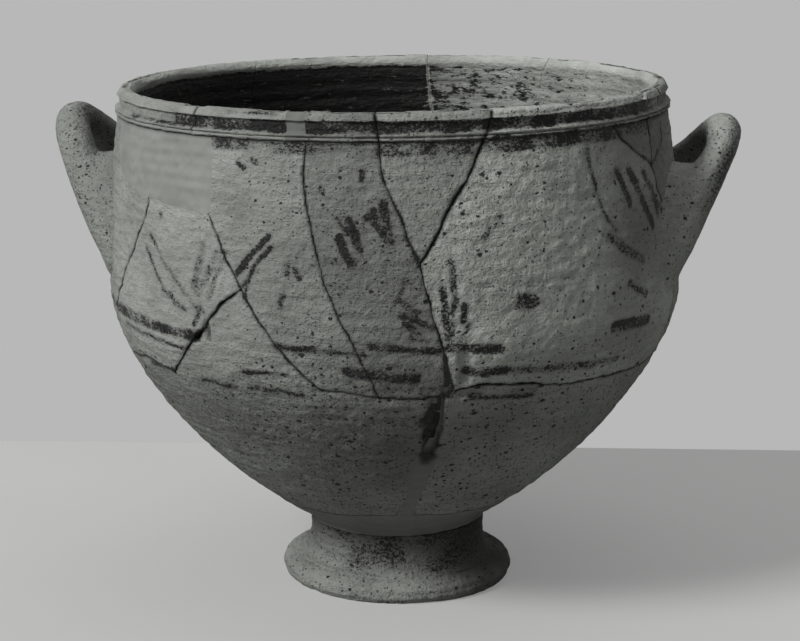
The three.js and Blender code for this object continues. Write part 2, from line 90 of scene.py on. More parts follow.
# Brush strokes and flecks: (width mm, strength, route of degrees round and height mm)
STROKES = (
    (1.3, 0.6, ((-52.3, 213), (-49.5, 205), (-47.0, 198), (-45.1, 194))),
    (1.2, 0.35, ((-45.1, 194), (-42.7, 188), (-40.4, 184))),
    (1.8, 0.6, ((-54.0, 206), (-51.1, 197), (-48.0, 187), (-44.8, 181), (-42.1, 178))),
    (3.0, 0.8, ((-46.2, 185), (-44.5, 181), (-42.8, 179))),
    (4.5, 0.3, ((-33.9, 210), (-36.0, 199), (-38.4, 188))),
    (4.5, 0.3, ((-37.2, 212), (-39.5, 189))),
    (3.5, 0.28, ((-32.0, 211), (-35.8, 187))),
    (3.0, 0.42, ((-40.4, 182), (-37.3, 179))),
    (3.0, 0.45, ((-38.0, 182), (-39.7, 171))),
    (3.4, 0.8, ((-22.8, 220), (-25.6, 213), (-27.2, 208), (-29.2, 201))),
    (2.4, 0.85, ((-22.5, 214), (-25.0, 208), (-26.6, 200), (-27.6, 192), (-27.7, 189))),
    (3.2, 0.6, ((-19.4, 206), (-19.1, 202))),
    (1.8, 0.8, ((-19.7, 191), (-20.8, 188), (-20.4, 185))),
    (3.0, 0.55, ((-17.8, 205), (-16.9, 200))),
    (1.2, 0.5, ((-65.8, 160), (-54.3, 159), (-41.6, 157))),
    (1.6, 0.6, ((-58.4, 142), (-49.8, 142))),
    (3.2, 0.55, ((-9.9, 230), (-7.9, 223))),
    (4.6, 0.9, ((-9.5, 220), (-7.2, 208))),
    (4.0, 0.8, ((-7.8, 230), (-5.8, 215))),
    (4.2, 0.62, ((-4.1, 231), (-1.6, 223))),
    (3.0, 0.62, ((-3.3, 234), (-2.5, 227))),
    (3.2, 0.75, ((-21.8, 166), (-13.7, 165))),
    (2.6, 0.45, ((-12.3, 165), (-5.5, 163))),
    (1.6, 0.7, ((-29.6, 150), (-24.5, 151))),
    (1.2, 0.42, ((-24.5, 151), (-20.0, 151))),
    (2.6, 0.65, ((-28.3, 141), (-22.8, 141), (-17.7, 139))),
    (2.6, 0.38, ((-40.8, 141), (-32.1, 140))),
    (5.5, 0.66, ((-8.3, 154), (1.1, 151), (4.1, 150))),
    (3.6, 0.68, ((-3.8, 167), (1.2, 166), (7.9, 165))),
    (3.6, 0.6, ((10.6, 208), (11.1, 188))),
    (3.6, 0.75, ((8.9, 195), (9.6, 171))),
    (2.6, 0.5, ((10.8, 188), (10.2, 166))),
    (3.2, 0.82, ((12.8, 186), (12.5, 179))),
    (2.2, 0.42, ((13.6, 177), (11.6, 168))),
    (3.2, 0.7, ((1.1, 190), (4.3, 184))),
    (3.2, 0.75, ((1.3, 183), (6.8, 176))),
    (3.2, 0.62, ((2.1, 179), (4.6, 173))),
    (2.6, 0.5, ((3.1, 172), (6.0, 169))),
    (1.3, 0.5, ((0.2, 188), (2.5, 199))),
    (5.0, 0.45, ((-1.4, 237), (-0.7, 220))),
    (5.2, 0.8, ((9.9, 166), (19.5, 163))),
    (5.0, 0.75, ((13.3, 152), (21.3, 151))),
    (4.0, 0.38, ((21.3, 151), (33.0, 149), (41.5, 147), (49.1, 146))),
    (2.6, 0.7, ((14.8, 138), (28.3, 135))),
    (7.5, 0.5, ((23.7, 186), (26.0, 186))),
    (6.0, 0.75, ((45.6, 165), (57.0, 164))),
    (5.0, 0.45, ((44.4, 212), (49.4, 203), (54.8, 196))),
    (4.0, 0.4, ((50.2, 186), (55.9, 178))),
    (3.2, 0.35, ((19.6, 229), (16.5, 219))),
    (4.8, 0.7, ((48.0, 244), (51.2, 227))),
    (4.8, 0.7, ((52.1, 243), (56.9, 222), (59.4, 212))),
    (4.2, 0.6, ((57.0, 240), (61.6, 225), (62.6, 216))),
    (4.0, 0.5, ((60.0, 227), (68.4, 211))),
    (2.4, 0.45, ((39.5, 262), (40.3, 249), (41.3, 237), (43.4, 223), (46.6, 214))),
    (2.6, 0.7, ((-29.9, 254), (-28.5, 252))),
    (2.4, 0.7, ((-26.7, 256), (-25.6, 255))),
    (2.4, 0.65, ((-36.7, 247), (-36.4, 246))),
    (3.2, 0.8, ((-5.3, 252), (-5.1, 249))),
    (2.2, 0.6, ((-12.8, 244), (-12.5, 242))),
    (2.2, 0.6, ((-49.4, 225), (-49.1, 224))),
    (2.4, 0.55, ((71.3, 233), (69.0, 213), (68.3, 195))),
)

# Soft dark clouds of fire and dirt: (degrees, height mm, spread degrees, spread mm, strength)
CLOUDS = (
    (-12, 118, 26, 20, 0.60), (2, 146, 14, 9, 0.35), (-10, 205, 13, 30, 0.55), (58, 215, 14, 34, 0.65),
    (50, 156, 22, 10, 0.25), (8, 110, 16, 24, 0.35), (66, 255, 10, 14, 0.45), (-30, 128, 18, 12, 0.30),
    (-8, 165, 14, 16, 0.40), (-3, 88, 30, 22, 0.35),
)

# How light each piece's clay is beside the finish's clay
PIECE_TONES = {
    "sherd_front_left": 0.98, "sherd_front_strip": 0.72, "sherd_front_wedge": 0.95, "sherd_front_right": 1.42,
    "sherd_left_panel": 1.08, "sherd_low_right": 1.12, "foot_collar": 0.82, "fill_rim_front": 0.58,
    "handle_left": 0.97, "handle_right": 1.18,
}

# Clay broken away beside a break:
# (degrees, height mm, half width mm, half height mm, depth mm, share darkened)
CHIPPED = (
    (7.6, 122, 6.0, 19, 3.0, 0.95), (7.6, 101, 5.0, 5.0, 2.2, 0.95), (-36.5, 170, 3.5, 6.0, 1.6, 0.9),
    (13.0, 156, 5.0, 12, 1.6, 0.1), (14.5, 140, 9.0, 3.2, 1.5, 0.0), (26.0, 139.5, 13.0, 1.8, 1.0, 0.1),
    (60.6, 280, 5.5, 3.0, 2.0, 0.1), (-138.3, 281, 3.0, 2.0, 1.2, 0.0), (-152.5, 281, 3.0, 2.0, 1.2, 0.0),
)


# Settings


def linear(hex_colour):
    """The linear colour of an sRGB hex value: ((c + 0.055)/1.055)^2.4, or c/12.92 below 0.04045."""
    parts = [int(hex_colour[i : i + 2], 16) / 255 for i in (1, 3, 5)]
    return [c / 12.92 if c <= 0.04045 else ((c + 0.055) / 1.055) ** 2.4 for c in parts] + [1.0]


def colour_setting(name, description, hex_colour):
    return bpy.props.FloatVectorProperty(
        name=name, description=description, subtype="COLOR", size=4, min=0, max=1, default=linear(hex_colour)
    )


def length_setting(name, description, default):
    return bpy.props.FloatProperty(
        name=name, description=description, unit="LENGTH", precision=4, min=0, default=default
    )


class KraterWall(bpy.types.PropertyGroup):
    """Sizes of the thrown wall, which are those of its solids"""

    stem_radius: length_setting("Stem radius", "Radius of the bowl where it meets the foot", 0.0496)
    stem_top: length_setting("Stem top", "Height of the bowl's underside", 0.0343)
    root_radius: length_setting("Root radius", "Radius where the bowl starts to open", 0.052)
    root_height: length_setting("Root height", "Height where the bowl starts to open", 0.0385)
    root_flare: bpy.props.FloatProperty(name="Root flare", description="Outward run per height", default=1.7)
    root_fullness: length_setting("Root fullness", "How far the root's slope holds", 0.032)
    belly_radius: length_setting("Belly radius", "Widest radius of the wall", 0.1575)
    belly_height: length_setting("Belly height", "Height of the widest place", 0.1705)
    belly_fullness: length_setting("Belly fullness", "How far the belly stays upright below", 0.037)
    shoulder_fullness: length_setting("Shoulder fullness", "How far it stays upright above", 0.0475)
    neck_radius: length_setting("Neck radius", "Radius under the rim's beads", 0.150)
    neck_height: length_setting("Neck height", "Height under the rim's beads", 0.2664)
    thickness: length_setting("Wall thickness", "Thickness of the thrown wall", 0.008)
    floor_height: length_setting("Floor height", "Height of the bowl's floor in the middle", 0.0455)
    floor_edge: length_setting("Floor edge", "Height where the floor turns up into the wall", 0.050)
    spacing: length_setting("Spacing", "Distance between the surface's points", 0.00105)


class KraterHandles(bpy.types.PropertyGroup):
    """Sizes of the two loop handles"""

    half_span: length_setting("Half span", "Half the distance between the roots", 0.046)
    root_reach: length_setting("Root reach", "Distance from the wheel axis to the roots", 0.127)
    bend_out: length_setting("Bend out", "How far outwards the legs' bend is from the root", 0.0252)
    bend_up: length_setting("Bend up", "How far upwards the legs' bend is from the root", 0.0317)
    top_out: length_setting("Top out", "How far outwards the loop's top is from the root", 0.0545)
    top_up: length_setting("Top up", "How far upwards the loop's top is from the root", 0.0762)
    strand_radius: length_setting("Strand radius", "Radius at the top of the loop", 0.0095)
    root_width: length_setting("Root width", "Radius at the roots, along the wall", 0.018)
    root_depth: length_setting("Root depth", "Radius at the roots, square to the loop", 0.016)
    width_power: bpy.props.FloatProperty(
        name="Width power", description="How late the legs grow wide", min=0.1, default=1.64
    )
    depth_power: bpy.props.FloatProperty(
        name="Depth power", description="How late the legs grow deep", min=0.1, default=1.4
    )
    root_share: bpy.props.FloatProperty(
        name="Root share", description="Share of the climb over which the legs grow thick",
        min=0.1, default=0.62,
    )
    left_azimuth: bpy.props.FloatProperty(
        name="Left azimuth", description="Direction of the left handle", subtype="ANGLE",
        default=math.radians(171),
    )
    left_root_height: length_setting("Left root height", "Height of the left roots' middle", 0.1817)
    right_azimuth: bpy.props.FloatProperty(
        name="Right azimuth", description="Direction of the right handle", subtype="ANGLE",
        default=math.radians(-1),
    )
    right_root_height: length_setting("Right root height", "Height of the right roots' middle", 0.1748)


class KraterFinish(bpy.types.PropertyGroup):
    """Colours of clay, paint and plaster, and the depth of their relief"""

    clay: colour_setting("Clay", "Fired clay where the slip is worn", "#90928d")
    # This dark clay also colours the painted shade on the handles and the foot.
    clay_dark_and_painted_shade: colour_setting("Dark clay", "Fired clay in its darker clouds", "#4a4b48")
    clay_dust: colour_setting("Dust", "Pale lime dust that clings to the clay", "#a9aaa4")
    pit: colour_setting("Pits", "Burnt-out pits", "#1c1c1b")
    paint: colour_setting("Paint", "Worn dark slip paint", "#111110")
    plaster: colour_setting("Plaster", "Toned modelling plaster", "#868883")
    foot: colour_setting("Foot clay", "Rough clay of the foot", "#8e908b")
    handle: colour_setting("Handle clay", "Clay of the handles", "#8e908b")
    wheel_marks: length_setting("Wheel marks", "Height of the throwing ridges", 0.00018)
    unevenness: length_setting("Unevenness", "How far the wall strays from true", 0.0006)
    break_wear: length_setting("Break wear", "How far the broken edges are rounded", 0.0004)
    joint_fit: length_setting("Joint fit", "How closely glued edges meet", 0.00012)
    break_wander: length_setting("Break wander", "How far the breaks stray sideways", 0.0008)


class KraterStage(bpy.types.PropertyGroup):
    """Floor, lamps and camera"""

    floor: colour_setting("Floor", "Pale floor", "#9b9c9a")
    glow: bpy.props.FloatProperty(
        name="Glow", description="How much paler the floor is to the camera", default=0.18
    )
    backdrop: bpy.props.FloatProperty(name="Backdrop", description="Brightness behind", default=0.478)
    ambient: bpy.props.FloatProperty(name="Ambient", description="Soft light from above", default=0.55)
    key: bpy.props.FloatProperty(
        name="Key", description="Soft lamp at the upper left", unit="POWER", default=620
    )
    overhead: bpy.props.FloatProperty(
        name="Overhead", description="Broad lamp above", unit="POWER", default=9
    )
    lens: bpy.props.FloatProperty(name="Lens", description="Focal length", unit="CAMERA", default=93.65)
    pitch: bpy.props.FloatProperty(
        name="Pitch", description="Camera's downward tilt", subtype="ANGLE", default=math.radians(12.64)
    )
    roll: bpy.props.FloatProperty(
        name="Roll", description="Camera's sideways tilt", subtype="ANGLE", default=math.radians(0.70)
    )
    distance: length_setting("Distance", "Camera's distance in front of the wheel axis", 1.143)
    height: length_setting("Height", "Camera's height over the floor", 0.4015)


# Shapes


def bezier(points, count):
    """A Bezier curve: sum over k of C(n, k) (1 - t)^(n - k) t^k P_k, for t from 0 to 1."""
    points = np.asarray(points, float)
    degree = len(points) - 1
    t = np.linspace(0, 1, count)[:, None]
    return sum(math.comb(degree, k) * (1 - t) ** (degree - k) * t**k * points[k] for k in range(degree + 1))


def distances_along(line):
    return np.concatenate([[0], np.cumsum(np.linalg.norm(np.diff(line, axis=0), axis=1))])


def evenly(line, count):
    """The same line with count points, spaced evenly along its length."""
    along = distances_along(line)
    places = np.linspace(0, along[-1], count)
    return np.column_stack([np.interp(places, along, line[:, axis]) for axis in (0, 1)])


def smoothly(value, low, high):
    """0 up to low, 1 from high on, and 3t^2 - 2t^3 between, with t = (value - low)/(high - low)."""
    t = np.clip((value - low) / (high - low), 0, 1)
    return t * t * (3 - 2 * t)


def bumps(points, size, seed):
    """Value noise, 0 to 1: random numbers on a cubic lattice of that size, blended by 3t^2 - 2t^3."""
    table = np.random.default_rng(seed).random((32, 32, 32))
    place = points / size
    cell = np.floor(place).astype(int)
    t = place - cell
    t = t * t * (3 - 2 * t)
    total = np.zeros(points.shape[:-1])
    for corner in itertools.product((0, 1), repeat=3):
        weight = np.prod([t[..., k] if corner[k] else 1 - t[..., k] for k in range(3)], axis=0)
        index = (cell + corner) % 32
        total += weight * table[index[..., 0], index[..., 1], index[..., 2]]
    return total


def leaned(points):
    """Points of the upright bowl, turned by the lean about Y at the pivot, and put on the wheel axis."""
    x, y, z = points[..., 0], points[..., 1], points[..., 2] - LEAN_PIVOT
    c, s = math.cos(BOWL_LEAN), math.sin(BOWL_LEAN)
    return np.stack([c * x - s * z + WHEEL_AXIS_X, y, s * x + c * z + LEAN_PIVOT], -1)


def upright(points):
    """The reverse of leaned."""
    moved = points - np.array([WHEEL_AXIS_X, 0, LEAN_PIVOT])
    c, s = math.cos(BOWL_LEAN), math.sin(BOWL_LEAN)
    x, z = moved[..., 0], moved[..., 2]
    return np.stack([c * x + s * z, moved[..., 1], -s * x + c * z + LEAN_PIVOT], -1)


def turned(profile, angles):
    """A profile of (radius, height) carried round the axis: (r sin a, -r cos a, z), angle 0 in front."""
    radius, height = profile[:, 0, None], profile[:, 1, None]
    return np.stack([radius * np.sin(angles), -radius * np.cos(angles), height + 0 * angles], -1)


def quads_round(rows, columns):
    """The quads between the rings of a skin that closes on itself, each ring next to the one before."""
    corner = np.arange(rows * columns).reshape(rows, columns)
    beside_it = np.roll(corner, -1, axis=1)
    return np.stack([corner[:-1], beside_it[:-1], beside_it[1:], corner[1:]], -1).reshape(-1, 4)


def beside(line, distance):
    """A line moved sideways by distance, to the left of its run: P + d(-dz, dr)/|(dr, dz)|."""
    along = np.gradient(line, axis=0)
    along /= np.linalg.norm(along, axis=1, keepdims=True)
    return line + distance * np.column_stack([-along[:, 1], along[:, 0]])


def wall_profile(wall):
    """Outer and inner (radius, height) of the wall, point for point, from the axis up to the lip's crest.

    The outer side is three Bezier curves: fillet, bowl and shoulder. The inner side is that line moved
    sideways by the wall's thickness. Below it, the floor's dish faces the flat underside.
    """
    fillet_height = wall.root_height - (wall.root_radius - wall.stem_radius) / wall.root_flare
    fillet = [
        (wall.stem_radius, wall.stem_top),
        (wall.stem_radius, fillet_height),
        (wall.root_radius, wall.root_height),
    ]
    full = wall.root_fullness
    bowl = [
        (wall.root_radius, wall.root_height),
        (wall.root_radius + wall.root_flare * full, wall.root_height + full),
        (wall.belly_radius, wall.belly_height - wall.belly_fullness),
        (wall.belly_radius, wall.belly_height),
    ]
    shoulder = [
        (wall.belly_radius, wall.belly_height),
        (wall.belly_radius, wall.belly_height + wall.shoulder_fullness),
        (wall.neck_radius, wall.neck_height),
    ]
    line = np.vstack([bezier(fillet, 20), bezier(bowl, 300)[1:], bezier(shoulder, 200)[1:]])
    outer = evenly(line, round(distances_along(line)[-1] / wall.spacing))
    inner = beside(outer, wall.thickness)
    above = inner[:, 1] > wall.floor_edge
    edge = inner[above][0]
    dish_edge = edge[0] - (edge[1] - wall.floor_height) * wall.root_flare
    dish = bezier([(0, wall.floor_height), (dish_edge, wall.floor_height), edge], 60)
    below = np.vstack([[(0, wall.stem_top)], outer[~above], outer[above][:1]])
    outer_rim, inner_rim = rim_profile(wall, inner[-1])
    rows = round(distances_along(below)[-1] / (1.4 * wall.spacing))
    outer_line = np.vstack([evenly(below, rows)[:-1], outer[above], outer_rim[1:]])
    inner_line = np.vstack([evenly(dish, rows)[:-1], inner[above], inner_rim[1:]])
    return outer_line, inner_line


def rim_profile(wall, inner_neck):
    """Two fine beads r = R + 1.3 mm sin(pi t), a recessed groove and a rounded lip, and the inside.

    Groove and lip are points in mm beside and above the neck. The inner line has as many points as
    the outer one, spaced evenly from the neck to the lip's crest.
    """
    radius, height = wall.neck_radius, wall.neck_height
    t = np.linspace(0, 1, 8)
    bead = np.column_stack([BEAD_PROUD * np.sin(math.pi * t), BEAD_HEIGHT * t])
    groove = np.array([(0, 4.2), (-1.4, 4.9), (-1.4, 9.5), (0, 10.2)]) * MM
    lip = bezier(np.array([(-1.3, 12.6), (-2.6, 15), (-9.2, 15), (-9.2, 9)]) * MM, 41)
    start = np.array([radius, height])
    outer_lip = evenly(np.vstack([groove[-1:], lip[:21]]), 14)[1:]
    outer = np.vstack([bead, bead[1:] + [0, BEAD_HEIGHT], evenly(groove, 12)[1:], outer_lip])
    inner = np.vstack([inner_neck - start, lip[20:][::-1]])
    return outer + start, evenly(inner + start, len(outer))


def wall_sheet(wall, finish, columns, rows):
    """The wall as a sheet of points: every row of the profile turned round the axis, with its relief.

    Relief moves a point along its normal: a sum of smooth noise in three sizes, ridges
    sin(2 pi z / 6.5 mm + noise) from the thrower's fingers, and the hollows of broken-off chips.
    A darkened share from 0 to 1 lies in some of the chips, and painted shade in a line under the rim's beads.
    """
    outer_line, inner_line = (line[rows] for line in wall_profile(wall))
    angles = np.linspace(-math.pi, math.pi, columns, endpoint=False)
    normal_line = beside(outer_line, -1) - outer_line
    outward = turned(normal_line, angles)
    outer, inner = turned(outer_line, angles), turned(inner_line, angles)
    height = outer[..., 2]
    ridges = np.sin(2 * math.pi * height / RIDGE_SPACING + 7 * bumps(outer, 0.030, 3))
    lip = smoothly(height, wall.neck_height - 2 * MM, wall.neck_height)
    relief = finish.wheel_marks * ridges * bumps(outer, 0.05, 4) * (1 - lip)
    relief += finish.unevenness * (bumps(outer, 0.040, 5) - 0.5) * (1 - 0.5 * lip)
    relief += 0.00075 * (bumps(outer, 0.0062, 6) - 0.5) + 0.0006 * (bumps(outer, 0.0030, 7) - 0.5)
    darkening_and_painted_shade = np.zeros(height.shape)
    for degrees, high, half_width, half_height, depth, darkened_share in CHIPPED:
        sideways = (angles - math.radians(degrees)) * outer_line[:, :1] / (half_width * MM)
        upward = (height - high * MM) / (half_height * MM)
        ragged = np.hypot(sideways, upward) + 0.7 * (bumps(outer, 0.004, 8) - 0.5)
        chipped = smoothly(-ragged, -1.0, -0.55)
        relief -= depth * MM * chipped * (0.7 + 0.6 * bumps(outer, 0.0025, 9))
        darkening_and_painted_shade = np.maximum(darkening_and_painted_shade, darkened_share * chipped)
    # Painted shade: a dark line in the undercut under the rim's beads.
    painted_shade_under_beads = np.exp(-(((height - wall.neck_height) / (0.9 * MM)) ** 2))
    darkening_and_painted_shade = np.maximum(darkening_and_painted_shade, 0.9 * painted_shade_under_beads)
    relief[-1] = 0
    inside = 0.0007 * (bumps(inner, 0.03, 10) - 0.5) + 0.0003 * (bumps(inner, 0.004, 11) - 0.5)
    inside += 0.00025 * np.sin(2 * math.pi * inner[..., 2] / INNER_RIDGE_SPACING + 5 * bumps(inner, 0.05, 12))
    inside[-1] = 0
    return {
        "angles": angles,
        "climb": distances_along(outer_line),
        "radius": outer_line[:, 0],
        "height": outer_line[:, 1],
        "normal": outward,
        "darkening_and_painted_shade": darkening_and_painted_shade,
        "outer": outer + outward * relief[..., None],
        "inner": inner - outward * inside[..., None],
    }


# Breaks


def outline_of(name, wall):
    """The outline of a solid's outer face, unrolled: the two ends of each edge as (angle, climb).

    The outer face's triangles are those that face away from the wall, and an edge that only one of
    them uses is on the outline. Each edge is split into steps of about a millimetre.
    """
    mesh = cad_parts[name].data
    mesh.calc_loop_triangles()
    points = np.zeros(len(mesh.vertices) * 3, np.float32)
    mesh.vertices.foreach_get("co", points)
    triangles = np.zeros(len(mesh.loop_triangles) * 3, int)
    mesh.loop_triangles.foreach_get("vertices", triangles)
    points, merged = np.unique(points.reshape(-1, 3), axis=0, return_inverse=True)
    points, triangles = upright(points.astype(float)), merged.reshape(-1)[triangles].reshape(-1, 3)
    corners = points[triangles]
    facing = np.cross(corners[:, 1] - corners[:, 0], corners[:, 2] - corners[:, 0])
    facing /= np.linalg.norm(facing, axis=1, keepdims=True) + 1e-20
    middle = corners.mean(axis=1)
    radius = np.hypot(middle[:, 0], middle[:, 1])
    radial = (facing[:, 0] * middle[:, 0] + facing[:, 1] * middle[:, 1]) / radius
    line, _ = wall_profile(wall)
    line = line[line[:, 1] > wall.stem_top + 0.5 * MM]
    slope = np.gradient(line, axis=0)
    slope /= np.linalg.norm(slope, axis=1, keepdims=True)
    climbing = [np.interp(middle[:, 2], line[:, 1], slope[:, k]) for k in (0, 1)]
    on_wall = radial * climbing[1] - facing[:, 2] * climbing[0] > 0.5
    on_rim = (radial > 0.3) | ((facing[:, 2] > 0.3) & (middle[:, 2] > wall.neck_height + 12.6 * MM))
    on_rim &= radius > wall.neck_radius - 5.7 * MM
    chosen = triangles[np.where(middle[:, 2] > wall.neck_height + 0.1 * MM, on_rim, on_wall)]
    edges = np.sort(chosen[:, [[0, 1], [1, 2], [2, 0]]].reshape(-1, 2), axis=1)
    edges, uses = np.unique(edges, axis=0, return_counts=True)
    ends = points[edges[uses == 1]]
    ends = ends[ends[..., 2].min(axis=1) > wall.stem_top + 0.2 * MM]
    steps = np.ceil(np.linalg.norm(ends[:, 1] - ends[:, 0], axis=1) / (1.2 * MM)).astype(int)
    which = np.repeat(np.arange(len(ends)), steps)
    step = np.arange(len(which)) - np.repeat(np.cumsum(steps) - steps, steps)
    share = np.stack([step, step + 1], -1)[..., None] / steps[which, None, None]
    return ends[which, :1] * (1 - share) + ends[which, 1:] * share


def unrolled(ends, finish, sheet):
    """Points as (angle, climb), strayed sideways by smooth noise so that a break looks torn."""
    radius = np.hypot(ends[..., 0], ends[..., 1])
    stray = [
        finish.break_wander * (bumps(ends, 0.0065, seed) - 0.5) * 1.3
        + finish.break_wander * (bumps(ends, 0.0023, seed + 1) - 0.5) * 0.7
        for seed in (21, 23)
    ]
    below_rim = 1 - smoothly(ends[..., 2], 0.262, 0.266)
    climb = np.interp(ends[..., 2], sheet["height"][sheet["rising"]], sheet["climb"][sheet["rising"]])
    angle = np.arctan2(ends[..., 0], -ends[..., 1]) + stray[0] / radius * (0.35 + 0.65 * below_rim)
    return np.stack([angle, climb + stray[1] * below_rim], -1)


def depth_inside(edges, sheet, reach=3 * MM):
    """How far each point of the sheet is inside an outline, negative outside it, at most reach.

    A point is inside where a line straight up the wall from it crosses the outline an odd number of
    times. The distance to an edge a-b is |p - a - clip((p - a).(b - a)/|b - a|^2, 0, 1)(b - a)|.
    """
    climb, angles = sheet["climb"], sheet["angles"]
    rows, columns = len(climb), len(angles)
    step = 2 * math.pi / columns
    start, end = edges[:, 0].copy(), edges[:, 1].copy()
    end[:, 0] = start[:, 0] + (end[:, 0] - start[:, 0] + math.pi) % (2 * math.pi) - math.pi
    low, high = np.minimum(start[:, 0], end[:, 0]), np.maximum(start[:, 0], end[:, 0])
    first = np.ceil((low + math.pi) / step).astype(int)
    crossings = np.zeros((rows + 1, columns), int)
    for ahead in range(int(np.ceil((high - low).max() / step)) + 1):
        column = first + ahead
        there = column * step - math.pi
        hit = (there >= low) & (there < high)
        share = (there[hit] - start[hit, 0]) / (end[hit, 0] - start[hit, 0])
        crossing = start[hit, 1] + share * (end[hit, 1] - start[hit, 1])
        np.add.at(crossings, (np.searchsorted(climb, crossing), column[hit] % columns), 1)
    above = np.cumsum(crossings[::-1], axis=0)[::-1][1:]
    inside = above % 2 == 1
    middle = (start + end) / 2
    row = np.searchsorted(climb, middle[:, 1])[:, None, None] + np.arange(-5, 6)[None, :, None]
    column = np.round((middle[:, 0] + math.pi) / step).astype(int)
    column = column[:, None, None] + np.arange(-7, 8)[None, None]
    row, column = np.broadcast_arrays(row, column)
    edge = np.broadcast_to(np.arange(len(edges))[:, None, None], row.shape)
    real = (row >= 0) & (row < rows)
    row, column, edge = row[real], column[real], edge[real]
    radius = np.interp(middle[:, 1], climb, sheet["radius"])
    run = (end - start) * np.column_stack([radius, np.ones(len(radius))])
    sideways = (column * step - math.pi - start[edge, 0]) * radius[edge]
    place = np.column_stack([sideways, climb[row] - start[edge, 1]])
    share = np.clip((place * run[edge]).sum(1) / ((run[edge] ** 2).sum(1) + 1e-18), 0, 1)
    away = np.linalg.norm(place - share[:, None] * run[edge], axis=1)
    depth = np.full((rows, columns), reach)
    np.minimum.at(depth, (row, column % columns), away)
    return np.where(inside, depth, -depth)


def cut_faces(depth):
    """Polygons where depth > 0, as numbers of corners and of cuts between them, and their cut edges.

    Each cell's polygon goes round its four corners and keeps those inside and each place where the
    outline crosses a side. Corner n's cuts are n + count, towards the next column, and n + 2 count,
    towards the next row.
    """
    rows, columns = depth.shape
    corner = np.arange(rows * columns).reshape(rows, columns)
    across, upward = corner + corner.size, corner + 2 * corner.size
    next_corner, next_upward = np.roll(corner, -1, axis=1), np.roll(upward, -1, axis=1)
    corners = np.stack([corner[:-1], next_corner[:-1], next_corner[1:], corner[1:]], -1).reshape(-1, 4)
    cuts = np.stack([across[:-1], next_upward[:-1], across[1:], upward[:-1]], -1).reshape(-1, 4)
    inside = depth.ravel()[corners] > 0
    corners, cuts, inside = (a[inside.any(axis=1)] for a in (corners, cuts, inside))
    crossed = inside != np.roll(inside, -1, axis=1)
    slots = np.full((len(corners), 8), -1)
    slots[:, 0::2] = np.where(inside, corners, -1)
    slots[:, 1::2] = np.where(crossed, cuts, -1)
    sides = (slots >= 0).sum(axis=1)
    faces = []
    for count in (3, 4, 5, 6):
        chosen = slots[sides == count]
        faces.append(chosen[chosen >= 0].reshape(-1, count))
    edges = []
    for side in range(4):
        cells = np.flatnonzero(inside[:, side] & crossed[:, side])
        order = [(side + 1 + k) % 4 for k in range(3)]
        ahead = np.argmax(crossed[cells][:, order], axis=1)
        edges.append(np.column_stack([cuts[cells, side], cuts[cells, np.array(order)[ahead]]]))
    return faces, np.vstack(edges)


def at_cuts(values, depth):
    """Values at all corners, then where depth is 0 on the way to the next column, then to the next row."""
    found = [values.reshape(-1, values.shape[-1])]
    for axis in (1, 0):
        beyond = np.roll(depth, -1, axis=axis)
        share = np.clip(depth / np.where(depth == beyond, 1, depth - beyond), 0.03, 0.97)[..., None]
        between = values * (1 - share) + np.roll(values, -1, axis=axis) * share
        found.append(between.reshape(-1, values.shape[-1]))
    return np.vstack(found)


def new_piece(name, points, faces, attributes, material, node):
    """A mesh from points and groups of polygons, which rides on the vessel and stands for its solid."""
    mesh = bpy.data.meshes.new(name)
    sizes = np.concatenate([np.full(len(group), group.shape[1]) for group in faces])
    corners = np.concatenate([group.ravel() for group in faces])
    used, corners = np.unique(corners, return_inverse=True)
    mesh.vertices.add(len(used))
    mesh.vertices.foreach_set("co", points[used].astype(np.float32).ravel())
    mesh.loops.add(len(corners))
    mesh.loops.foreach_set("vertex_index", corners.ravel().astype(np.int32))
    mesh.polygons.add(len(sizes))
    mesh.polygons.foreach_set("loop_start", (np.cumsum(sizes) - sizes).astype(np.int32))
    for key, values in attributes.items():
        attribute = mesh.attributes.new(key, "FLOAT", "POINT")
        attribute.data.foreach_set("value", values[used].astype(np.float32))
    mesh.update(calc_edges=True)
    shape = bmesh.new()
    shape.from_mesh(mesh)
    bmesh.ops.remove_doubles(shape, verts=shape.verts, dist=2e-6)
    shape.to_mesh(mesh)
    shape.free()
    mesh.validate()
    mesh.polygons.foreach_set("use_smooth", np.ones(len(mesh.polygons), bool))
    mesh.set_sharp_from_angle(angle=math.radians(48))
    mesh.materials.append(material)
    piece = bpy.data.objects.new(name, mesh)
    bpy.context.scene.collection.objects.link(piece)
    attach(piece, "root")
    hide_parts(node)
    return piece


# Paint and dirt, as shares from 0 to 1 on the points of the sheet


def paint_on(sheet):
    """Bands fade over a millimetre across their edges, strokes by their distance to a route."""
    angles = np.degrees(sheet["angles"])[None]
    height = sheet["height"][:, None] / MM
    paint = np.zeros((len(sheet["climb"]), len(sheet["angles"])))
    stray = [1.6 * (bumps(sheet["outer"], size, seed) - 0.5) for size, seed in ((0.007, 33), (0.009, 34))]
    for high, half_width, start, end, strength in BANDS:
        strayed = np.abs(height - high + stray[0])
        across = smoothly(-strayed, -half_width - 1.2, -half_width + 1.2)
        along = smoothly(angles + 4 * stray[1], start - 4, start + 3)
        along = along * (1 - smoothly(angles + 4 * stray[1], end - 3, end + 4))
        paint = np.maximum(paint, strength**0.6 * across * along)
    for width, strength, route in STROKES:
        width = max(width, NARROWEST_STROKE)
        for (a_deg, a_high), (b_deg, b_high) in itertools.pairwise(route):
            radius = np.interp((a_high + b_high) / 2 * MM, sheet["height"], sheet["radius"]) / MM
            run = np.array([math.radians(b_deg - a_deg) * radius, b_high - a_high])
            dx = np.radians(angles - a_deg) * radius
            dy = height - a_high
            share = np.clip((dx * run[0] + dy * run[1]) / (run @ run), 0, 1)
            away = np.hypot(dx - share * run[0] + stray[0], dy - share * run[1] + stray[1])
            laid = smoothly(-away, -width / 2 - 1.5, -width / 2 + 0.9)
            paint = np.maximum(paint, strength**0.45 * laid)
    return np.clip(paint * (0.60 + 0.75 * bumps(sheet["outer"], 0.006, 35)), 0, 1)


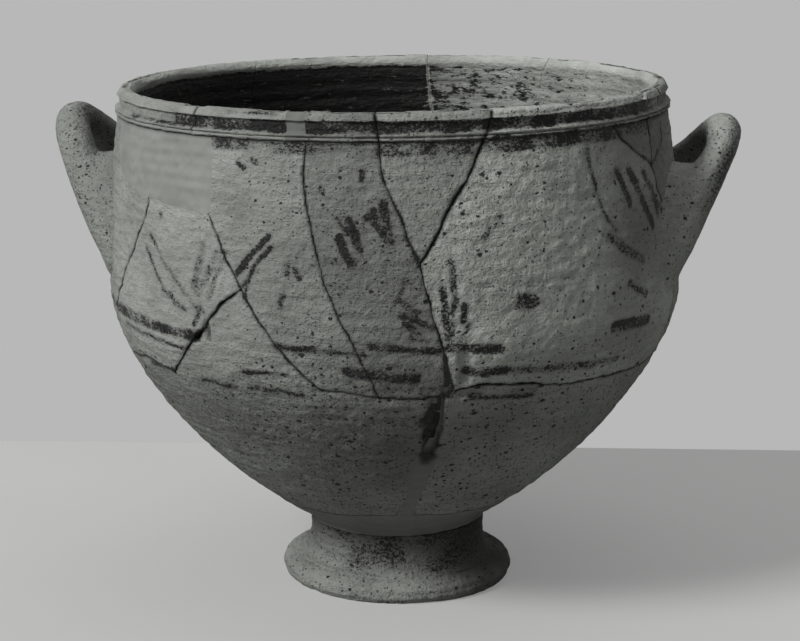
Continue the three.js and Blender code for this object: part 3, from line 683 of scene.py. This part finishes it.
def clouds_on(sheet):
    """Each cloud is exp(-(da/spread)^2 - (dz/spread)^2), broken up by noise."""
    angles, height = np.degrees(sheet["angles"])[None], sheet["height"][:, None] / MM
    cloud = np.zeros((len(sheet["climb"]), len(sheet["angles"])))
    for degrees, high, wide, tall, strength in CLOUDS:
        cloud += strength * np.exp(-(((angles - degrees) / wide) ** 2) - ((height - high) / tall) ** 2)
    return np.clip(cloud * (0.55 + 0.9 * bumps(sheet["outer"], 0.018, 31)), 0, 1)


def lining_on(sheet, wall):
    """The dark paint inside: whole at the left, half worn at the right back, none on the lip."""
    angles = np.degrees(sheet["angles"])[None]
    below_lip = wall.neck_height + 15 * MM - sheet["inner"][..., 2]
    kept = smoothly(below_lip, 0.0050, 0.0085)
    right_back = smoothly(angles, 60, 100) * (1 - smoothly(angles, 166, 177))
    far_right = smoothly(angles, 60, 100) * (1 - smoothly(angles, 128, 150))
    seen_high = smoothly(sheet["inner"][..., 2], 0.150, 0.185)
    return kept * (1.04 - seen_high * (0.48 * right_back + 0.14 * far_right))


def pitting_on(sheet):
    """Pits are denser and larger on the bowl's lower part, sparse under the rim and at the left."""
    angles = np.degrees(sheet["angles"])[None]
    low = 1 - smoothly(sheet["outer"][..., 2], 0.130, 0.170)
    return 0.72 + 0.30 * smoothly(angles, -42, -12) + 0.42 * low


# Materials


def add(tree, kind, sockets=(), **settings):
    """Adds a node. Settings are its properties; sockets give inputs a value or another node's output."""
    node = tree.nodes.new(kind)
    for name, value in settings.items():
        setattr(node, name, value)
    for name, value in dict(sockets).items():
        if isinstance(value, bpy.types.NodeSocket):
            tree.links.new(value, node.inputs[name])
        else:
            node.inputs[name].default_value = value
    return node


def new_material(name):
    material = bpy.data.materials.new(name)
    material.use_nodes = True
    material.node_tree.nodes.clear()
    return material, material.node_tree


FACTOR, COLOUR_A, COLOUR_B, COLOUR_OUT = 0, 6, 7, 2

# Three sizes of pit: (cells to a metre, chance below which a cell has none, largest radius in cells)
PIT_SIZES = ((115, 0.60, 0.21), (240, 0.45, 0.27), (520, 0.36, 0.36))


def stained(tree, colour, attribute, strength, stain):
    """Lays a stain over a colour, as far as the share on the surface's points times the strength."""
    share = add(tree, "ShaderNodeAttribute", attribute_name=attribute)
    factor = add(tree, "ShaderNodeMath", {0: share.outputs["Fac"], 1: strength}, operation="MULTIPLY")
    return add(
        tree, "ShaderNodeMix", {FACTOR: factor.outputs[0], COLOUR_A: colour, COLOUR_B: stain},
        data_type="RGBA",
    ).outputs[COLOUR_OUT]


def fired_clay(name, finish, base, roughness=0.88):
    """Fired terracotta: thrown, then buried, so its matt skin is worn, dusty and full of burnt-out pits.

    Pits are up to 3.7, 2.2 and 1.4 mm across and drawn out round the pot (115, 240 and 520 cells to a
    metre), sand lies in lumps of 3 mm (330) and grain of 0.8 mm (1300).
    """
    material, tree = new_material(name)
    place = add(tree, "ShaderNodeTexCoord").outputs["Object"]
    wander = add(tree, "ShaderNodeTexNoise", {"Vector": place, "Scale": 700, "Detail": 1})
    ragged = add(
        tree, "ShaderNodeVectorMath", {0: wander.outputs["Color"], 1: (0.0016,) * 3, 2: place},
        operation="MULTIPLY_ADD",
    ).outputs[0]
    laid = add(tree, "ShaderNodeMapping", {"Vector": ragged, "Scale": (1, 1, 1.35)}).outputs[0]
    streaked = add(tree, "ShaderNodeMapping", {"Vector": place, "Scale": (1, 1, 4)}).outputs[0]
    cloud = add(tree, "ShaderNodeTexNoise", {"Vector": place, "Scale": 22, "Detail": 4, "Roughness": 0.55})
    patch = add(tree, "ShaderNodeTexNoise", {"Vector": streaked, "Scale": 60, "Detail": 5, "Roughness": 0.65})
    sand = add(tree, "ShaderNodeTexNoise", {"Vector": place, "Scale": 330, "Detail": 4, "Roughness": 0.62})
    grain = add(tree, "ShaderNodeTexNoise", {"Vector": place, "Scale": 1300, "Detail": 2})
    pitting = add(tree, "ShaderNodeAttribute", attribute_name="pitting").outputs["Fac"]
    masks = []
    for scale, rarest, largest in PIT_SIZES:
        cells = add(tree, "ShaderNodeTexVoronoi", {"Vector": laid, "Scale": scale, "Randomness": 1})
        chance = add(tree, "ShaderNodeSeparateColor", {"Color": cells.outputs["Color"]})
        likely = add(tree, "ShaderNodeMath", {0: chance.outputs[0], 1: pitting}, operation="MULTIPLY")
        size = add(
            tree, "ShaderNodeMapRange",
            {"Value": likely.outputs[0], "From Min": rarest, "From Max": 1.0, "To Min": 0.0,
             "To Max": largest},
        )
        room = add(
            tree, "ShaderNodeMath", {0: size.outputs[0], 1: cells.outputs["Distance"]}, operation="SUBTRACT"
        )
        mask = add(tree, "ShaderNodeMapRange", {"Value": room.outputs[0], "From Min": 0.0, "From Max": 0.07})
        masks.append(mask.outputs[0])
    pits = add(tree, "ShaderNodeMath", {0: masks[0], 1: masks[1]}, operation="MAXIMUM")
    finest = add(tree, "ShaderNodeMath", {0: masks[2], 1: 0.75}, operation="MULTIPLY")
    pits = add(
        tree, "ShaderNodeMath", {0: finest.outputs[0], 1: pits.outputs[0]}, operation="MAXIMUM"
    ).outputs[0]

    tone = add(tree, "ShaderNodeAttribute", attribute_name="tone").outputs["Fac"]
    for noise, low, high in (
        (cloud, 0.78, 1.16), (patch, 0.84, 1.12), (sand, 0.90, 1.07), (grain, 0.90, 1.08)
    ):
        shade = add(
            tree, "ShaderNodeMapRange",
            {"Value": noise.outputs[0], "From Min": 0.3, "From Max": 0.7, "To Min": low, "To Max": high},
        )
        tone = add(tree, "ShaderNodeMath", {0: tone, 1: shade.outputs[0]}, operation="MULTIPLY").outputs[0]
    body = add(
        tree, "ShaderNodeMix", {FACTOR: 1.0, COLOUR_A: base, COLOUR_B: tone},
        data_type="RGBA", blend_type="MULTIPLY",
    )
    dusty = add(
        tree, "ShaderNodeMapRange",
        {"Value": sand.outputs[0], "From Min": 0.62, "From Max": 0.80, "To Min": 0, "To Max": 0.20},
    )
    body = add(
        tree, "ShaderNodeMix",
        {FACTOR: dusty.outputs[0], COLOUR_A: body.outputs[COLOUR_OUT], COLOUR_B: finish.clay_dust},
        data_type="RGBA",
    )
    colour, cover = with_paint(tree, finish, body.outputs[COLOUR_OUT], place)
    dark = add(tree, "ShaderNodeMath", {0: pits, 1: 0.95}, operation="MULTIPLY")
    colour = add(
        tree, "ShaderNodeMix", {FACTOR: dark.outputs[0], COLOUR_A: colour, COLOUR_B: finish.pit},
        data_type="RGBA",
    ).outputs[COLOUR_OUT]

    relief = add(tree, "ShaderNodeMath", {0: sand.outputs[0], 1: pitting}, operation="MULTIPLY")
    for value, share in ((grain.outputs[0], 0.22), (patch.outputs[0], 0.9), (pits, -0.42), (cover, -0.06)):
        relief = add(
            tree, "ShaderNodeMath", {0: value, 1: share, 2: relief.outputs[0]}, operation="MULTIPLY_ADD"
        )
    bump = add(tree, "ShaderNodeBump", {"Strength": 1.0, "Distance": 0.0018, "Height": relief.outputs[0]})
    rough = add(tree, "ShaderNodeMapRange", {"Value": cover, "To Min": roughness, "To Max": 0.6})
    shader = add(
        tree, "ShaderNodeBsdfPrincipled",
        {"Base Color": colour, "Roughness": rough.outputs[0], "IOR": 1.5, "Specular IOR Level": 0.3,
         "Normal": bump.outputs[0]},
    )
    add(tree, "ShaderNodeOutputMaterial", {"Surface": shader.outputs[0]})
    return material


def with_paint(tree, finish, colour, place):
    """Lays fire clouds with painted shade, and dark paint, on a clay colour, and darkens the breaks with soil
    and painted shade.

    Paint is a thin stain and thick flakes. Flakes are 1.8 mm (560 to a metre), and the lining inside is
    worn in patches of 9 mm (110), both drawn out round the pot.
    """
    # Fire clouds on the wall; on the handles' inner sides and the foot's right side this is painted shade.
    colour = stained(tree, colour, "smoke_and_painted_shade", 0.75, finish.clay_dark_and_painted_shade)
    flaked = add(tree, "ShaderNodeMapping", {"Vector": place, "Scale": (1, 1, 1.4)}).outputs[0]
    brushed = add(tree, "ShaderNodeMapping", {"Vector": place, "Scale": (1, 1, 3)}).outputs[0]
    flakes = add(tree, "ShaderNodeTexNoise", {"Vector": flaked, "Scale": 560, "Detail": 5, "Roughness": 0.8})
    worn = add(tree, "ShaderNodeTexNoise", {"Vector": brushed, "Scale": 110, "Detail": 7, "Roughness": 0.8})
    covers = []
    for attribute, noise, stain in (("paint", flakes, 0.55), ("lining", worn, 0.30)):
        share = add(tree, "ShaderNodeAttribute", attribute_name=attribute).outputs["Fac"]
        wear = add(
            tree, "ShaderNodeMapRange",
            {"Value": noise.outputs[0], "From Min": 0.30, "From Max": 0.66, "To Min": 0.05, "To Max": 1.1},
        )
        kept = add(tree, "ShaderNodeMath", {0: share, 1: wear.outputs[0]}, operation="SUBTRACT")
        flake = add(
            tree, "ShaderNodeMapRange", {"Value": kept.outputs[0], "From Min": -0.05, "From Max": 0.09}
        )
        thin = add(tree, "ShaderNodeMath", {0: share, 1: stain}, operation="MULTIPLY")
        covers.append(
            add(tree, "ShaderNodeMath", {0: flake.outputs[0], 1: thin.outputs[0]}, operation="MAXIMUM")
        )
    cover = add(
        tree, "ShaderNodeMath", {0: covers[0].outputs[0], 1: covers[1].outputs[0]}, operation="MAXIMUM"
    ).outputs[0]
    painted = add(
        tree, "ShaderNodeMix", {FACTOR: cover, COLOUR_A: colour, COLOUR_B: finish.paint}, data_type="RGBA"
    )
    # Dark breaks in the pits' colour: soil in the joints, and painted shade in the gaps and under the rim's
    # beads.
    return stained(tree, painted.outputs[COLOUR_OUT], "breaks_and_painted_shade", 0.9, finish.pit), cover


def modelling_plaster(name, finish):
    """Gypsum plaster, smoothed wet and toned to the clay: no pits, a soft mottle and faint tool marks.

    The mottle is 22 mm (45 to a metre), tool marks 4 mm long and 1 mm high (240), grain 0.9 mm (1100).
    """
    material, tree = new_material(name)
    place = add(tree, "ShaderNodeTexCoord").outputs["Object"]
    pulled = add(tree, "ShaderNodeMapping", {"Vector": place, "Scale": (1, 1, 4)}).outputs[0]
    mottle = add(tree, "ShaderNodeTexNoise", {"Vector": place, "Scale": 45, "Detail": 4, "Roughness": 0.6})
    marks = add(tree, "ShaderNodeTexNoise", {"Vector": pulled, "Scale": 240, "Detail": 3})
    grain = add(tree, "ShaderNodeTexNoise", {"Vector": place, "Scale": 1100, "Detail": 2})
    tone = add(
        tree, "ShaderNodeMapRange",
        {"Value": mottle.outputs[0], "From Min": 0.3, "From Max": 0.7, "To Min": 0.84, "To Max": 1.1},
    )
    darker = add(tree, "ShaderNodeAttribute", attribute_name="tone")
    tone = add(tree, "ShaderNodeMath", {0: tone.outputs[0], 1: darker.outputs["Fac"]}, operation="MULTIPLY")
    colour = add(
        tree, "ShaderNodeMix", {FACTOR: 1.0, COLOUR_A: finish.plaster, COLOUR_B: tone.outputs[0]},
        data_type="RGBA", blend_type="MULTIPLY",
    ).outputs[COLOUR_OUT]
    # On plaster this share is only the wall's fire clouds.
    colour = stained(tree, colour, "smoke_and_painted_shade", 0.75, finish.clay_dark_and_painted_shade)
    # Dark breaks: soil in the joints, and painted shade in the gaps and under the rim's beads.
    colour = stained(tree, colour, "breaks_and_painted_shade", 0.9, finish.pit)
    relief = add(
        tree, "ShaderNodeMath", {0: marks.outputs[0], 1: 0.5, 2: grain.outputs[0]}, operation="MULTIPLY_ADD"
    )
    bump = add(tree, "ShaderNodeBump", {"Strength": 1.0, "Distance": 0.00006, "Height": relief.outputs[0]})
    shader = add(
        tree, "ShaderNodeBsdfPrincipled",
        {"Base Color": colour, "Roughness": 0.8, "IOR": 1.52, "Specular IOR Level": 0.3,
         "Normal": bump.outputs[0]},
    )
    add(tree, "ShaderNodeOutputMaterial", {"Surface": shader.outputs[0]})
    return material


# Operators


class KRATER_OT_wall(bpy.types.Operator):
    """Cuts the thrown wall along its breaks into sherds and plaster fills"""

    bl_idname = "krater.wall"
    bl_label = "Wall"

    def execute(self, context):
        wall, finish = context.scene.krater_wall, context.scene.krater_finish
        clay = fired_clay("terracotta_worn_paint", finish, finish.clay)
        plaster = modelling_plaster("toned_plaster", finish)
        outer_line, _ = wall_profile(wall)
        names = [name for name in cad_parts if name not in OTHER_PIECES]
        height = outer_line[:, 1]
        for members, columns, rows in (
            ([n for n in names if n not in LOWER_PIECES], 960, height > 0.122),
            ([n for n in names if n in LOWER_PIECES], 680, height < 0.198),
        ):
            sheet = wall_sheet(wall, finish, columns, rows)
            sheet["rising"] = sheet["height"] > wall.stem_top + 0.5 * MM
            looks = {
                "paint": paint_on(sheet),
                "smoke_and_painted_shade": clouds_on(sheet),
                "lining": lining_on(sheet, wall),
                "pitting": pitting_on(sheet),
            }
            depths = {
                name: depth_inside(unrolled(outline_of(name, wall), finish, sheet), sheet)
                for name in members
            }
            filled = np.max([depths[name] for name in members if name in PLASTER_PIECES], axis=0)
            above_seam = smoothly(sheet["outer"][..., 2], 0.056, 0.062)
            looks["beside_fill"] = smoothly(filled, -2.6 * MM, -1.0 * MM) * above_seam
            for name in members:
                material = plaster if name in PLASTER_PIECES else clay
                self.cut_out(name, finish, sheet, depths[name], looks, material)
        return {"FINISHED"}

    def cut_out(self, name, finish, sheet, depth, looks, material):
        """One piece: the outer and inner sheet where it is, and a strip of broken clay between them.

        The outer edge is worn back by w exp(-(depth / 0.62 mm)^2). Plaster spreads 0.45 mm over its
        joint, just under the clay's face.
        """
        plaster = name in PLASTER_PIECES
        closeness = 0.2 + bumps(sheet["outer"], 0.011, 42) * 1.2
        depth = depth + (PLASTER_SPREAD if plaster else finish.joint_fit * closeness)
        faces, edges = cut_faces(depth)
        near = np.exp(-((np.maximum(depth, 0) / WEAR_REACH) ** 2))
        if plaster:
            worn = np.full(depth.shape, PLASTER_RECESS)
        else:
            worn = finish.break_wear * near * (0.5 + bumps(sheet["outer"], 0.003, 41))
            worn = worn * (1 - looks["beside_fill"])
        outer = sheet["outer"] - sheet["normal"] * worn[..., None]
        inner = sheet["inner"] + sheet["normal"] * (0.6 * worn)[..., None]
        blank = np.zeros(depth.shape)
        # Painted shade: the clay darkens down the bowl's underside, to 0.76 of its tone below 112 mm.
        lower = smoothly(sheet["outer"][..., 2], 0.112, 0.172)
        tone = blank + PIECE_TONES.get(name, 1.0) * (0.76 + 0.24 * lower)
        # Darker beside the breaks: soil in the joints and painted shade in the gaps between pieces, then the
        # chips' darkening and the shade under the beads.
        soil_and_painted_shade = near * (1 - looks["beside_fill"]) * (0.45 + 1.2 * bumps(sheet["outer"], 0.004, 43))
        soil_and_painted_shade = soil_and_painted_shade * (0.1 if plaster else 1.0)
        soil_and_painted_shade = np.maximum(soil_and_painted_shade, sheet["darkening_and_painted_shade"])
        outside = np.dstack(
            [leaned(outer), looks["paint"], blank, looks["smoke_and_painted_shade"], soil_and_painted_shade, tone, looks["pitting"]]
        )
        inner_tone = tone if plaster else blank + INNER_TONE
        lining = looks["lining"] * (1 - 0.9 * near * (sheet["angles"] > 0))
        inside = np.dstack([leaned(inner), blank, lining, blank, blank, inner_tone, blank + 0.5])
        outside[-1], inside[-1] = inside[-1], inside[-1]
        both = np.vstack([at_cuts(outside, depth), at_cuts(inside, depth)])
        half = len(both) // 2
        strip = np.column_stack([edges[:, 1], edges[:, 0], edges[:, 0] + half, edges[:, 1] + half])
        groups = faces + [group[:, ::-1] + half for group in faces] + [strip]
        attributes = dict(zip(("paint", "lining", "smoke_and_painted_shade", "breaks_and_painted_shade", "tone", "pitting"), both[:, 3:].T))
        piece = new_piece(name + "_surface", both[:, :3], groups, attributes, material, name)


class KRATER_OT_handles(bpy.types.Operator):
    """Rolls the two loop handles and lutes them to the wall"""

    bl_idname = "krater.handles"
    bl_label = "Handles"

    def execute(self, context):
        wall, finish = context.scene.krater_wall, context.scene.krater_finish
        handles = context.scene.krater_handles
        clay = fired_clay("terracotta_handles", finish, finish.handle)
        for node, azimuth, root_height in (
            ("handle_left", handles.left_azimuth, handles.left_root_height),
            ("handle_right", handles.right_azimuth, handles.right_root_height),
        ):
            skin = self.strand(wall, handles, azimuth, root_height)
            quads = quads_round(*skin.shape[:2])
            middle = skin.mean(axis=1, keepdims=True)
            facing = skin - middle
            facing /= np.maximum(np.linalg.norm(facing, axis=-1, keepdims=True), 1e-6)
            within = skin.mean(axis=(0, 1)) - middle
            inward = (facing * within).sum(axis=-1) / np.linalg.norm(within, axis=-1)
            looks = {
                "tone": np.full(skin.size // 3, PIECE_TONES[node]),
                "pitting": np.full(skin.size // 3, 1.15),
                # Painted shade: dark flecks laid as paint on the handles' +X side, away from the key lamp.
                "paint": (0.9 * smoothly(facing[..., 0], -0.2, 0.8) * bumps(skin, 0.02, 53)).ravel(),
                # Painted shade: the strands' sides that face into the loop are darkened.
                "smoke_and_painted_shade": (0.95 * smoothly(inward, -0.1, 0.6)).ravel(),
            }
            piece = new_piece(node + "_surface", leaned(skin).reshape(-1, 3), [quads], looks, clay, node)
        return {"FINISHED"}

    def strand(self, wall, handles, azimuth, root_height):
        """Rings round a half oval, for t from 0 to pi. With q = sin t, the middle of a ring is at
        (1 - q)^2 root + 2q(1 - q) bend + q^2 top, set aside by -span cos t.

        Radii grow from the strand's to the root's with ((1 - q)/share)^power, and again by a fillet
        (1 - gap/14 mm)^2 where the skin nears the wall. On the front legs the side towards the wall is
        3.6 mm slimmer near the top, and clay fills the corner closer than 9 mm to the wall. What would
        be inside the wall is laid just under its face.
        """
        t = np.linspace(0, math.pi, 190)[:, None]
        around = np.linspace(0, 2 * math.pi, 72, endpoint=False)[None]
        climb = np.sin(t)
        root = np.array([handles.root_reach, 0, root_height])
        bend = root + np.array([handles.bend_out, 0, handles.bend_up])
        top = root + np.array([handles.top_out, 0, handles.top_up])
        side = np.array([0, 1, 0])
        centre = (1 - climb) ** 2 * root + 2 * climb * (1 - climb) * bend + climb**2 * top
        centre = centre - handles.half_span * np.cos(t) * side
        rise = 2 * (1 - climb) * (bend - root) + 2 * climb * (top - bend)
        along = rise * np.cos(t) + handles.half_span * climb * side
        along /= np.linalg.norm(along, axis=1, keepdims=True)
        square = np.column_stack([-rise[:, 2], 0 * t[:, 0], rise[:, 0]])
        square /= np.linalg.norm(square, axis=1, keepdims=True)
        aside = np.cross(square, along)
        near_root = np.minimum((1 - climb) / handles.root_share, 1)
        strand = handles.strand_radius
        wide = strand + (handles.root_width - strand) * near_root**handles.width_power
        deep = strand + (handles.root_depth - strand) * near_root**handles.depth_power
        spoke = (wide * np.cos(around))[..., None] * aside[:, None]
        spoke = spoke + (deep * np.sin(around))[..., None] * square[:, None]
        skin = centre[:, None] + spoke
        line, _ = wall_profile(wall)
        line = line[line[:, 1] > wall.stem_top + 0.5 * MM]
        gap = np.hypot(skin[..., 0], skin[..., 1]) - np.interp(skin[..., 2], line[:, 1], line[:, 0])
        upward = np.clip(np.sin(around), 0, 1)
        turned_y = math.sin(azimuth) * centre[:, 0] + math.cos(azimuth) * centre[:, 1]
        near = smoothly(-turned_y, -0.012, 0.012)[:, None]
        slimmer = near * smoothly(climb, 0.62, 0.76) * (1 - smoothly(climb, 0.90, 1.0))
        fillet = (0.003 + 0.003 * upward) * np.clip(1 - gap / 0.014, 0, 1.1) ** 2 - 0.0036 * upward * slimmer
        fillet += 0.009 * near * upward * smoothly(-gap, -0.0088, -0.0050)
        spoke /= np.linalg.norm(spoke, axis=-1, keepdims=True)
        skin = skin + spoke * (fillet + 0.0007 * (bumps(skin, 0.014, 51) - 0.5))[..., None]
        skin += spoke * (0.0003 * (bumps(skin, 0.003, 52) - 0.5))[..., None]
        out = np.hypot(skin[..., 0], skin[..., 1])
        face = np.interp(skin[..., 2], line[:, 1], line[:, 0]) - 0.5 * MM
        skin[..., :2] *= np.where(out < face, face / out, 1)[..., None]
        c, s = math.cos(azimuth), math.sin(azimuth)
        x, y = skin[..., 0].copy(), skin[..., 1].copy()
        skin[..., 0], skin[..., 1] = c * x - s * y, s * x + c * y
        first, last = (skin[:1] * 0 + skin[end].mean(axis=0) for end in (0, -1))
        return np.concatenate([first, skin, last])


class KRATER_OT_foot(bpy.types.Operator):
    """Turns the hollow foot, with its rolled base, groove and waist"""

    bl_idname = "krater.foot"
    bl_label = "Foot"

    def execute(self, context):
        wall, finish = context.scene.krater_wall, context.scene.krater_finish
        clay = fired_clay("terracotta_foot", finish, finish.foot, roughness=0.92)
        hollow = bezier(np.array([(0, 23), (41.3, 23), (51.6, 0)]) * MM, 40)
        roll = bezier(np.array([(62.6, 0), (66.7, 2), (66.7, 11.6), (56.2, 11.6)]) * MM, 40)
        waist = bezier(np.array([(56.2, 12.6), (48.9, 13.6), (48.9, 27)]) * MM, 30)
        stem = np.array([(49.2, 32.3), (49.2, 34.0), (0, 34.0)]) * MM
        line = evenly(np.vstack([hollow, roll, waist, stem]), 190)
        angles = np.linspace(-math.pi, math.pi, 480, endpoint=False)
        skin = turned(line, angles)
        outward = turned(beside(line, -1) - line, angles)
        rough = 0.0009 * (bumps(skin, 0.012, 61) - 0.5) + 0.0005 * (bumps(skin, 0.0035, 62) - 0.5)
        rough += 0.00025 * np.sin(2 * math.pi * skin[..., 2] / 0.0042 + 4 * bumps(skin, 0.03, 63))
        rough[0] = rough[-1] = 0
        skin = skin + outward * rough[..., None]
        skin[..., 2] = np.maximum(skin[..., 2], 0)
        skin[..., 2] += skin[..., 0] * math.sin(BOWL_LEAN) * smoothly(skin[..., 2], 0.020, 0.034)
        skin[..., 0] += WHEEL_AXIS_X
        quads = quads_round(*skin.shape[:2])
        high = smoothly(skin[..., 2], 0.013, 0.033)
        round_it = np.degrees(angles)[None] + 0 * high
        # Painted shade: the foot's right side, in the bowl's shadow, is darkened with mottled dark clay.
        painted_shade_right = smoothly(round_it, 0, 55) * (1 - smoothly(round_it, 120, 170))
        worn_paint = 0.62 * smoothly(skin[..., 2], 0.008, 0.018) * (0.5 + bumps(skin, 0.012, 64))
        looks = {
            "tone": (1.0 - 0.30 * high).ravel(),
            "pitting": np.full(skin.size // 3, 1.1),
            "smoke_and_painted_shade": (0.9 * painted_shade_right * (0.6 + 0.8 * bumps(skin, 0.016, 65))).ravel(),
            "paint": (worn_paint * (0.55 + 0.45 * smoothly(round_it, -60, -20))).ravel(),
        }
        piece = new_piece("foot_surface", skin.reshape(-1, 3), [quads], looks, clay, "foot")
        return {"FINISHED"}


class KRATER_OT_stage(bpy.types.Operator):
    """Sets the pale floor, the soft lamps and the camera"""

    bl_idname = "krater.stage"
    bl_label = "Stage"

    def execute(self, context):
        stage = context.scene.krater_stage
        self.floor(stage)
        self.light(stage)
        self.camera(stage)
        context.scene.view_settings.view_transform = "Standard"
        return {"FINISHED"}

    def floor(self, stage):
        side, front, back = 4.0, -4.0, 0.25
        corners = [(-side, front, 0), (side, front, 0), (side, back, 0), (-side, back, 0)]
        mesh = bpy.data.meshes.new("floor")
        mesh.from_pydata(corners, [], [(0, 1, 2, 3)])
        material, tree = new_material("painted_board")
        place = add(tree, "ShaderNodeTexCoord").outputs["Object"]
        mottle = add(tree, "ShaderNodeTexNoise", {"Vector": place, "Scale": 5, "Detail": 3})
        tone = add(
            tree, "ShaderNodeMapRange",
            {"Value": mottle.outputs[0], "From Min": 0.3, "From Max": 0.7, "To Min": 0.97, "To Max": 1.03},
        )
        colour = add(
            tree, "ShaderNodeMix", {FACTOR: 1.0, COLOUR_A: stage.floor, COLOUR_B: tone.outputs[0]},
            data_type="RGBA", blend_type="MULTIPLY",
        )
        seen = add(tree, "ShaderNodeLightPath")
        paler = add(
            tree, "ShaderNodeMath", {0: seen.outputs["Is Camera Ray"], 1: stage.glow}, operation="MULTIPLY"
        )
        shader = add(
            tree, "ShaderNodeBsdfPrincipled",
            {"Base Color": colour.outputs[COLOUR_OUT], "Roughness": 0.9, "Emission Color": linear("#ffffff"),
             "Emission Strength": paler.outputs[0]},
        )
        add(tree, "ShaderNodeOutputMaterial", {"Surface": shader.outputs[0]})
        mesh.materials.append(material)
        floor = bpy.data.objects.new("floor", mesh)
        bpy.context.scene.collection.objects.link(floor)

    def light(self, stage):
        """Soft light from the upper sky, a large key lamp at the upper left and a weak broad one above."""
        world = bpy.data.worlds.new("soft_studio")
        world.use_nodes = True
        tree = world.node_tree
        tree.nodes.clear()
        seen = add(tree, "ShaderNodeLightPath")
        direct = add(
            tree, "ShaderNodeMath",
            {0: seen.outputs["Is Camera Ray"], 1: seen.outputs["Is Glossy Ray"]}, operation="MAXIMUM",
        )
        direct = add(
            tree, "ShaderNodeMath",
            {0: direct.outputs[0], 1: seen.outputs["Is Transmission Ray"]}, operation="MAXIMUM",
        )
        way = add(tree, "ShaderNodeTexCoord").outputs["Generated"]
        upward = add(tree, "ShaderNodeSeparateXYZ", {"Vector": way})
        soft = add(
            tree, "ShaderNodeMapRange",
            {"Value": upward.outputs["Z"], "From Min": 0.3, "To Min": 0.015, "To Max": stage.ambient},
        )
        strength = add(
            tree, "ShaderNodeMapRange",
            {"Value": direct.outputs[0], "To Min": soft.outputs[0], "To Max": stage.backdrop},
        )
        background = add(
            tree, "ShaderNodeBackground", {"Color": linear("#ffffff"), "Strength": strength.outputs[0]}
        )
        add(tree, "ShaderNodeOutputWorld", {"Surface": background.outputs[0]})
        bpy.context.scene.world = world
        middle = Vector((0, 0, 0.15))
        for name, power, size, place in (
            ("key", stage.key, 2.2, (-4.9, -3.8, 5.2)),
            ("overhead", stage.overhead, 3.0, (0.6, 0.6, 3.4)),
        ):
            lamp = bpy.data.lights.new(name, "AREA")
            lamp.energy, lamp.size = power, size
            lamp_object = bpy.data.objects.new(name, lamp)
            lamp_object.location = place
            aim = middle - Vector(place)
            lamp_object.rotation_euler = aim.to_track_quat("-Z", "Y").to_euler()
            bpy.context.scene.collection.objects.link(lamp_object)

    def camera(self, stage):
        """The view's axes: forward tips down by the pitch, and right and up turn about it by the roll."""
        forward = Vector((0, math.cos(stage.pitch), -math.sin(stage.pitch)))
        level = Vector((1, 0, 0))
        up = level.cross(forward)
        c, s = math.cos(stage.roll), math.sin(stage.roll)
        right, above = c * level + s * up, c * up - s * level
        camera = bpy.data.cameras.new("camera")
        camera.lens, camera.sensor_width = stage.lens, 36
        camera.clip_start, camera.clip_end = 0.05, 50
        camera_object = bpy.data.objects.new("camera", camera)
        turn = Matrix((right, above, -forward)).transposed().to_4x4()
        place = Vector((WHEEL_AXIS_X, -stage.distance, stage.height))
        camera_object.matrix_world = Matrix.Translation(place) @ turn
        bpy.context.scene.collection.objects.link(camera_object)
        bpy.context.scene.camera = camera_object


class KRATER_PT_panel(bpy.types.Panel):
    """Lists the vessel's settings and operators in the sidebar"""

    bl_idname = "KRATER_PT_panel"
    bl_label = "Krater"
    bl_space_type = "VIEW_3D"
    bl_region_type = "UI"
    bl_category = "Krater"

    def draw(self, context):
        for settings in ("krater_wall", "krater_handles", "krater_finish", "krater_stage"):
            group = getattr(context.scene, settings)
            box = self.layout.box()
            for key in group.__annotations__:
                box.prop(group, key)
        for operator in OPERATORS:
            self.layout.operator(operator.bl_idname)


OPERATORS = (KRATER_OT_stage, KRATER_OT_wall, KRATER_OT_handles, KRATER_OT_foot)
GROUPS = {
    "krater_wall": KraterWall,
    "krater_handles": KraterHandles,
    "krater_finish": KraterFinish,
    "krater_stage": KraterStage,
}


def register():
    for item in (*GROUPS.values(), *OPERATORS, KRATER_PT_panel):
        bpy.utils.register_class(item)
    for name, group in GROUPS.items():
        setattr(bpy.types.Scene, name, bpy.props.PointerProperty(type=group))


def unregister():
    for name in GROUPS:
        delattr(bpy.types.Scene, name)
    for item in (KRATER_PT_panel, *reversed(OPERATORS), *reversed(GROUPS.values())):
        bpy.utils.unregister_class(item)


def main():
    register()
    bpy.ops.krater.stage()
    bpy.ops.krater.wall()
    bpy.ops.krater.handles()
    bpy.ops.krater.foot()


if __name__ == "__main__":
    main()
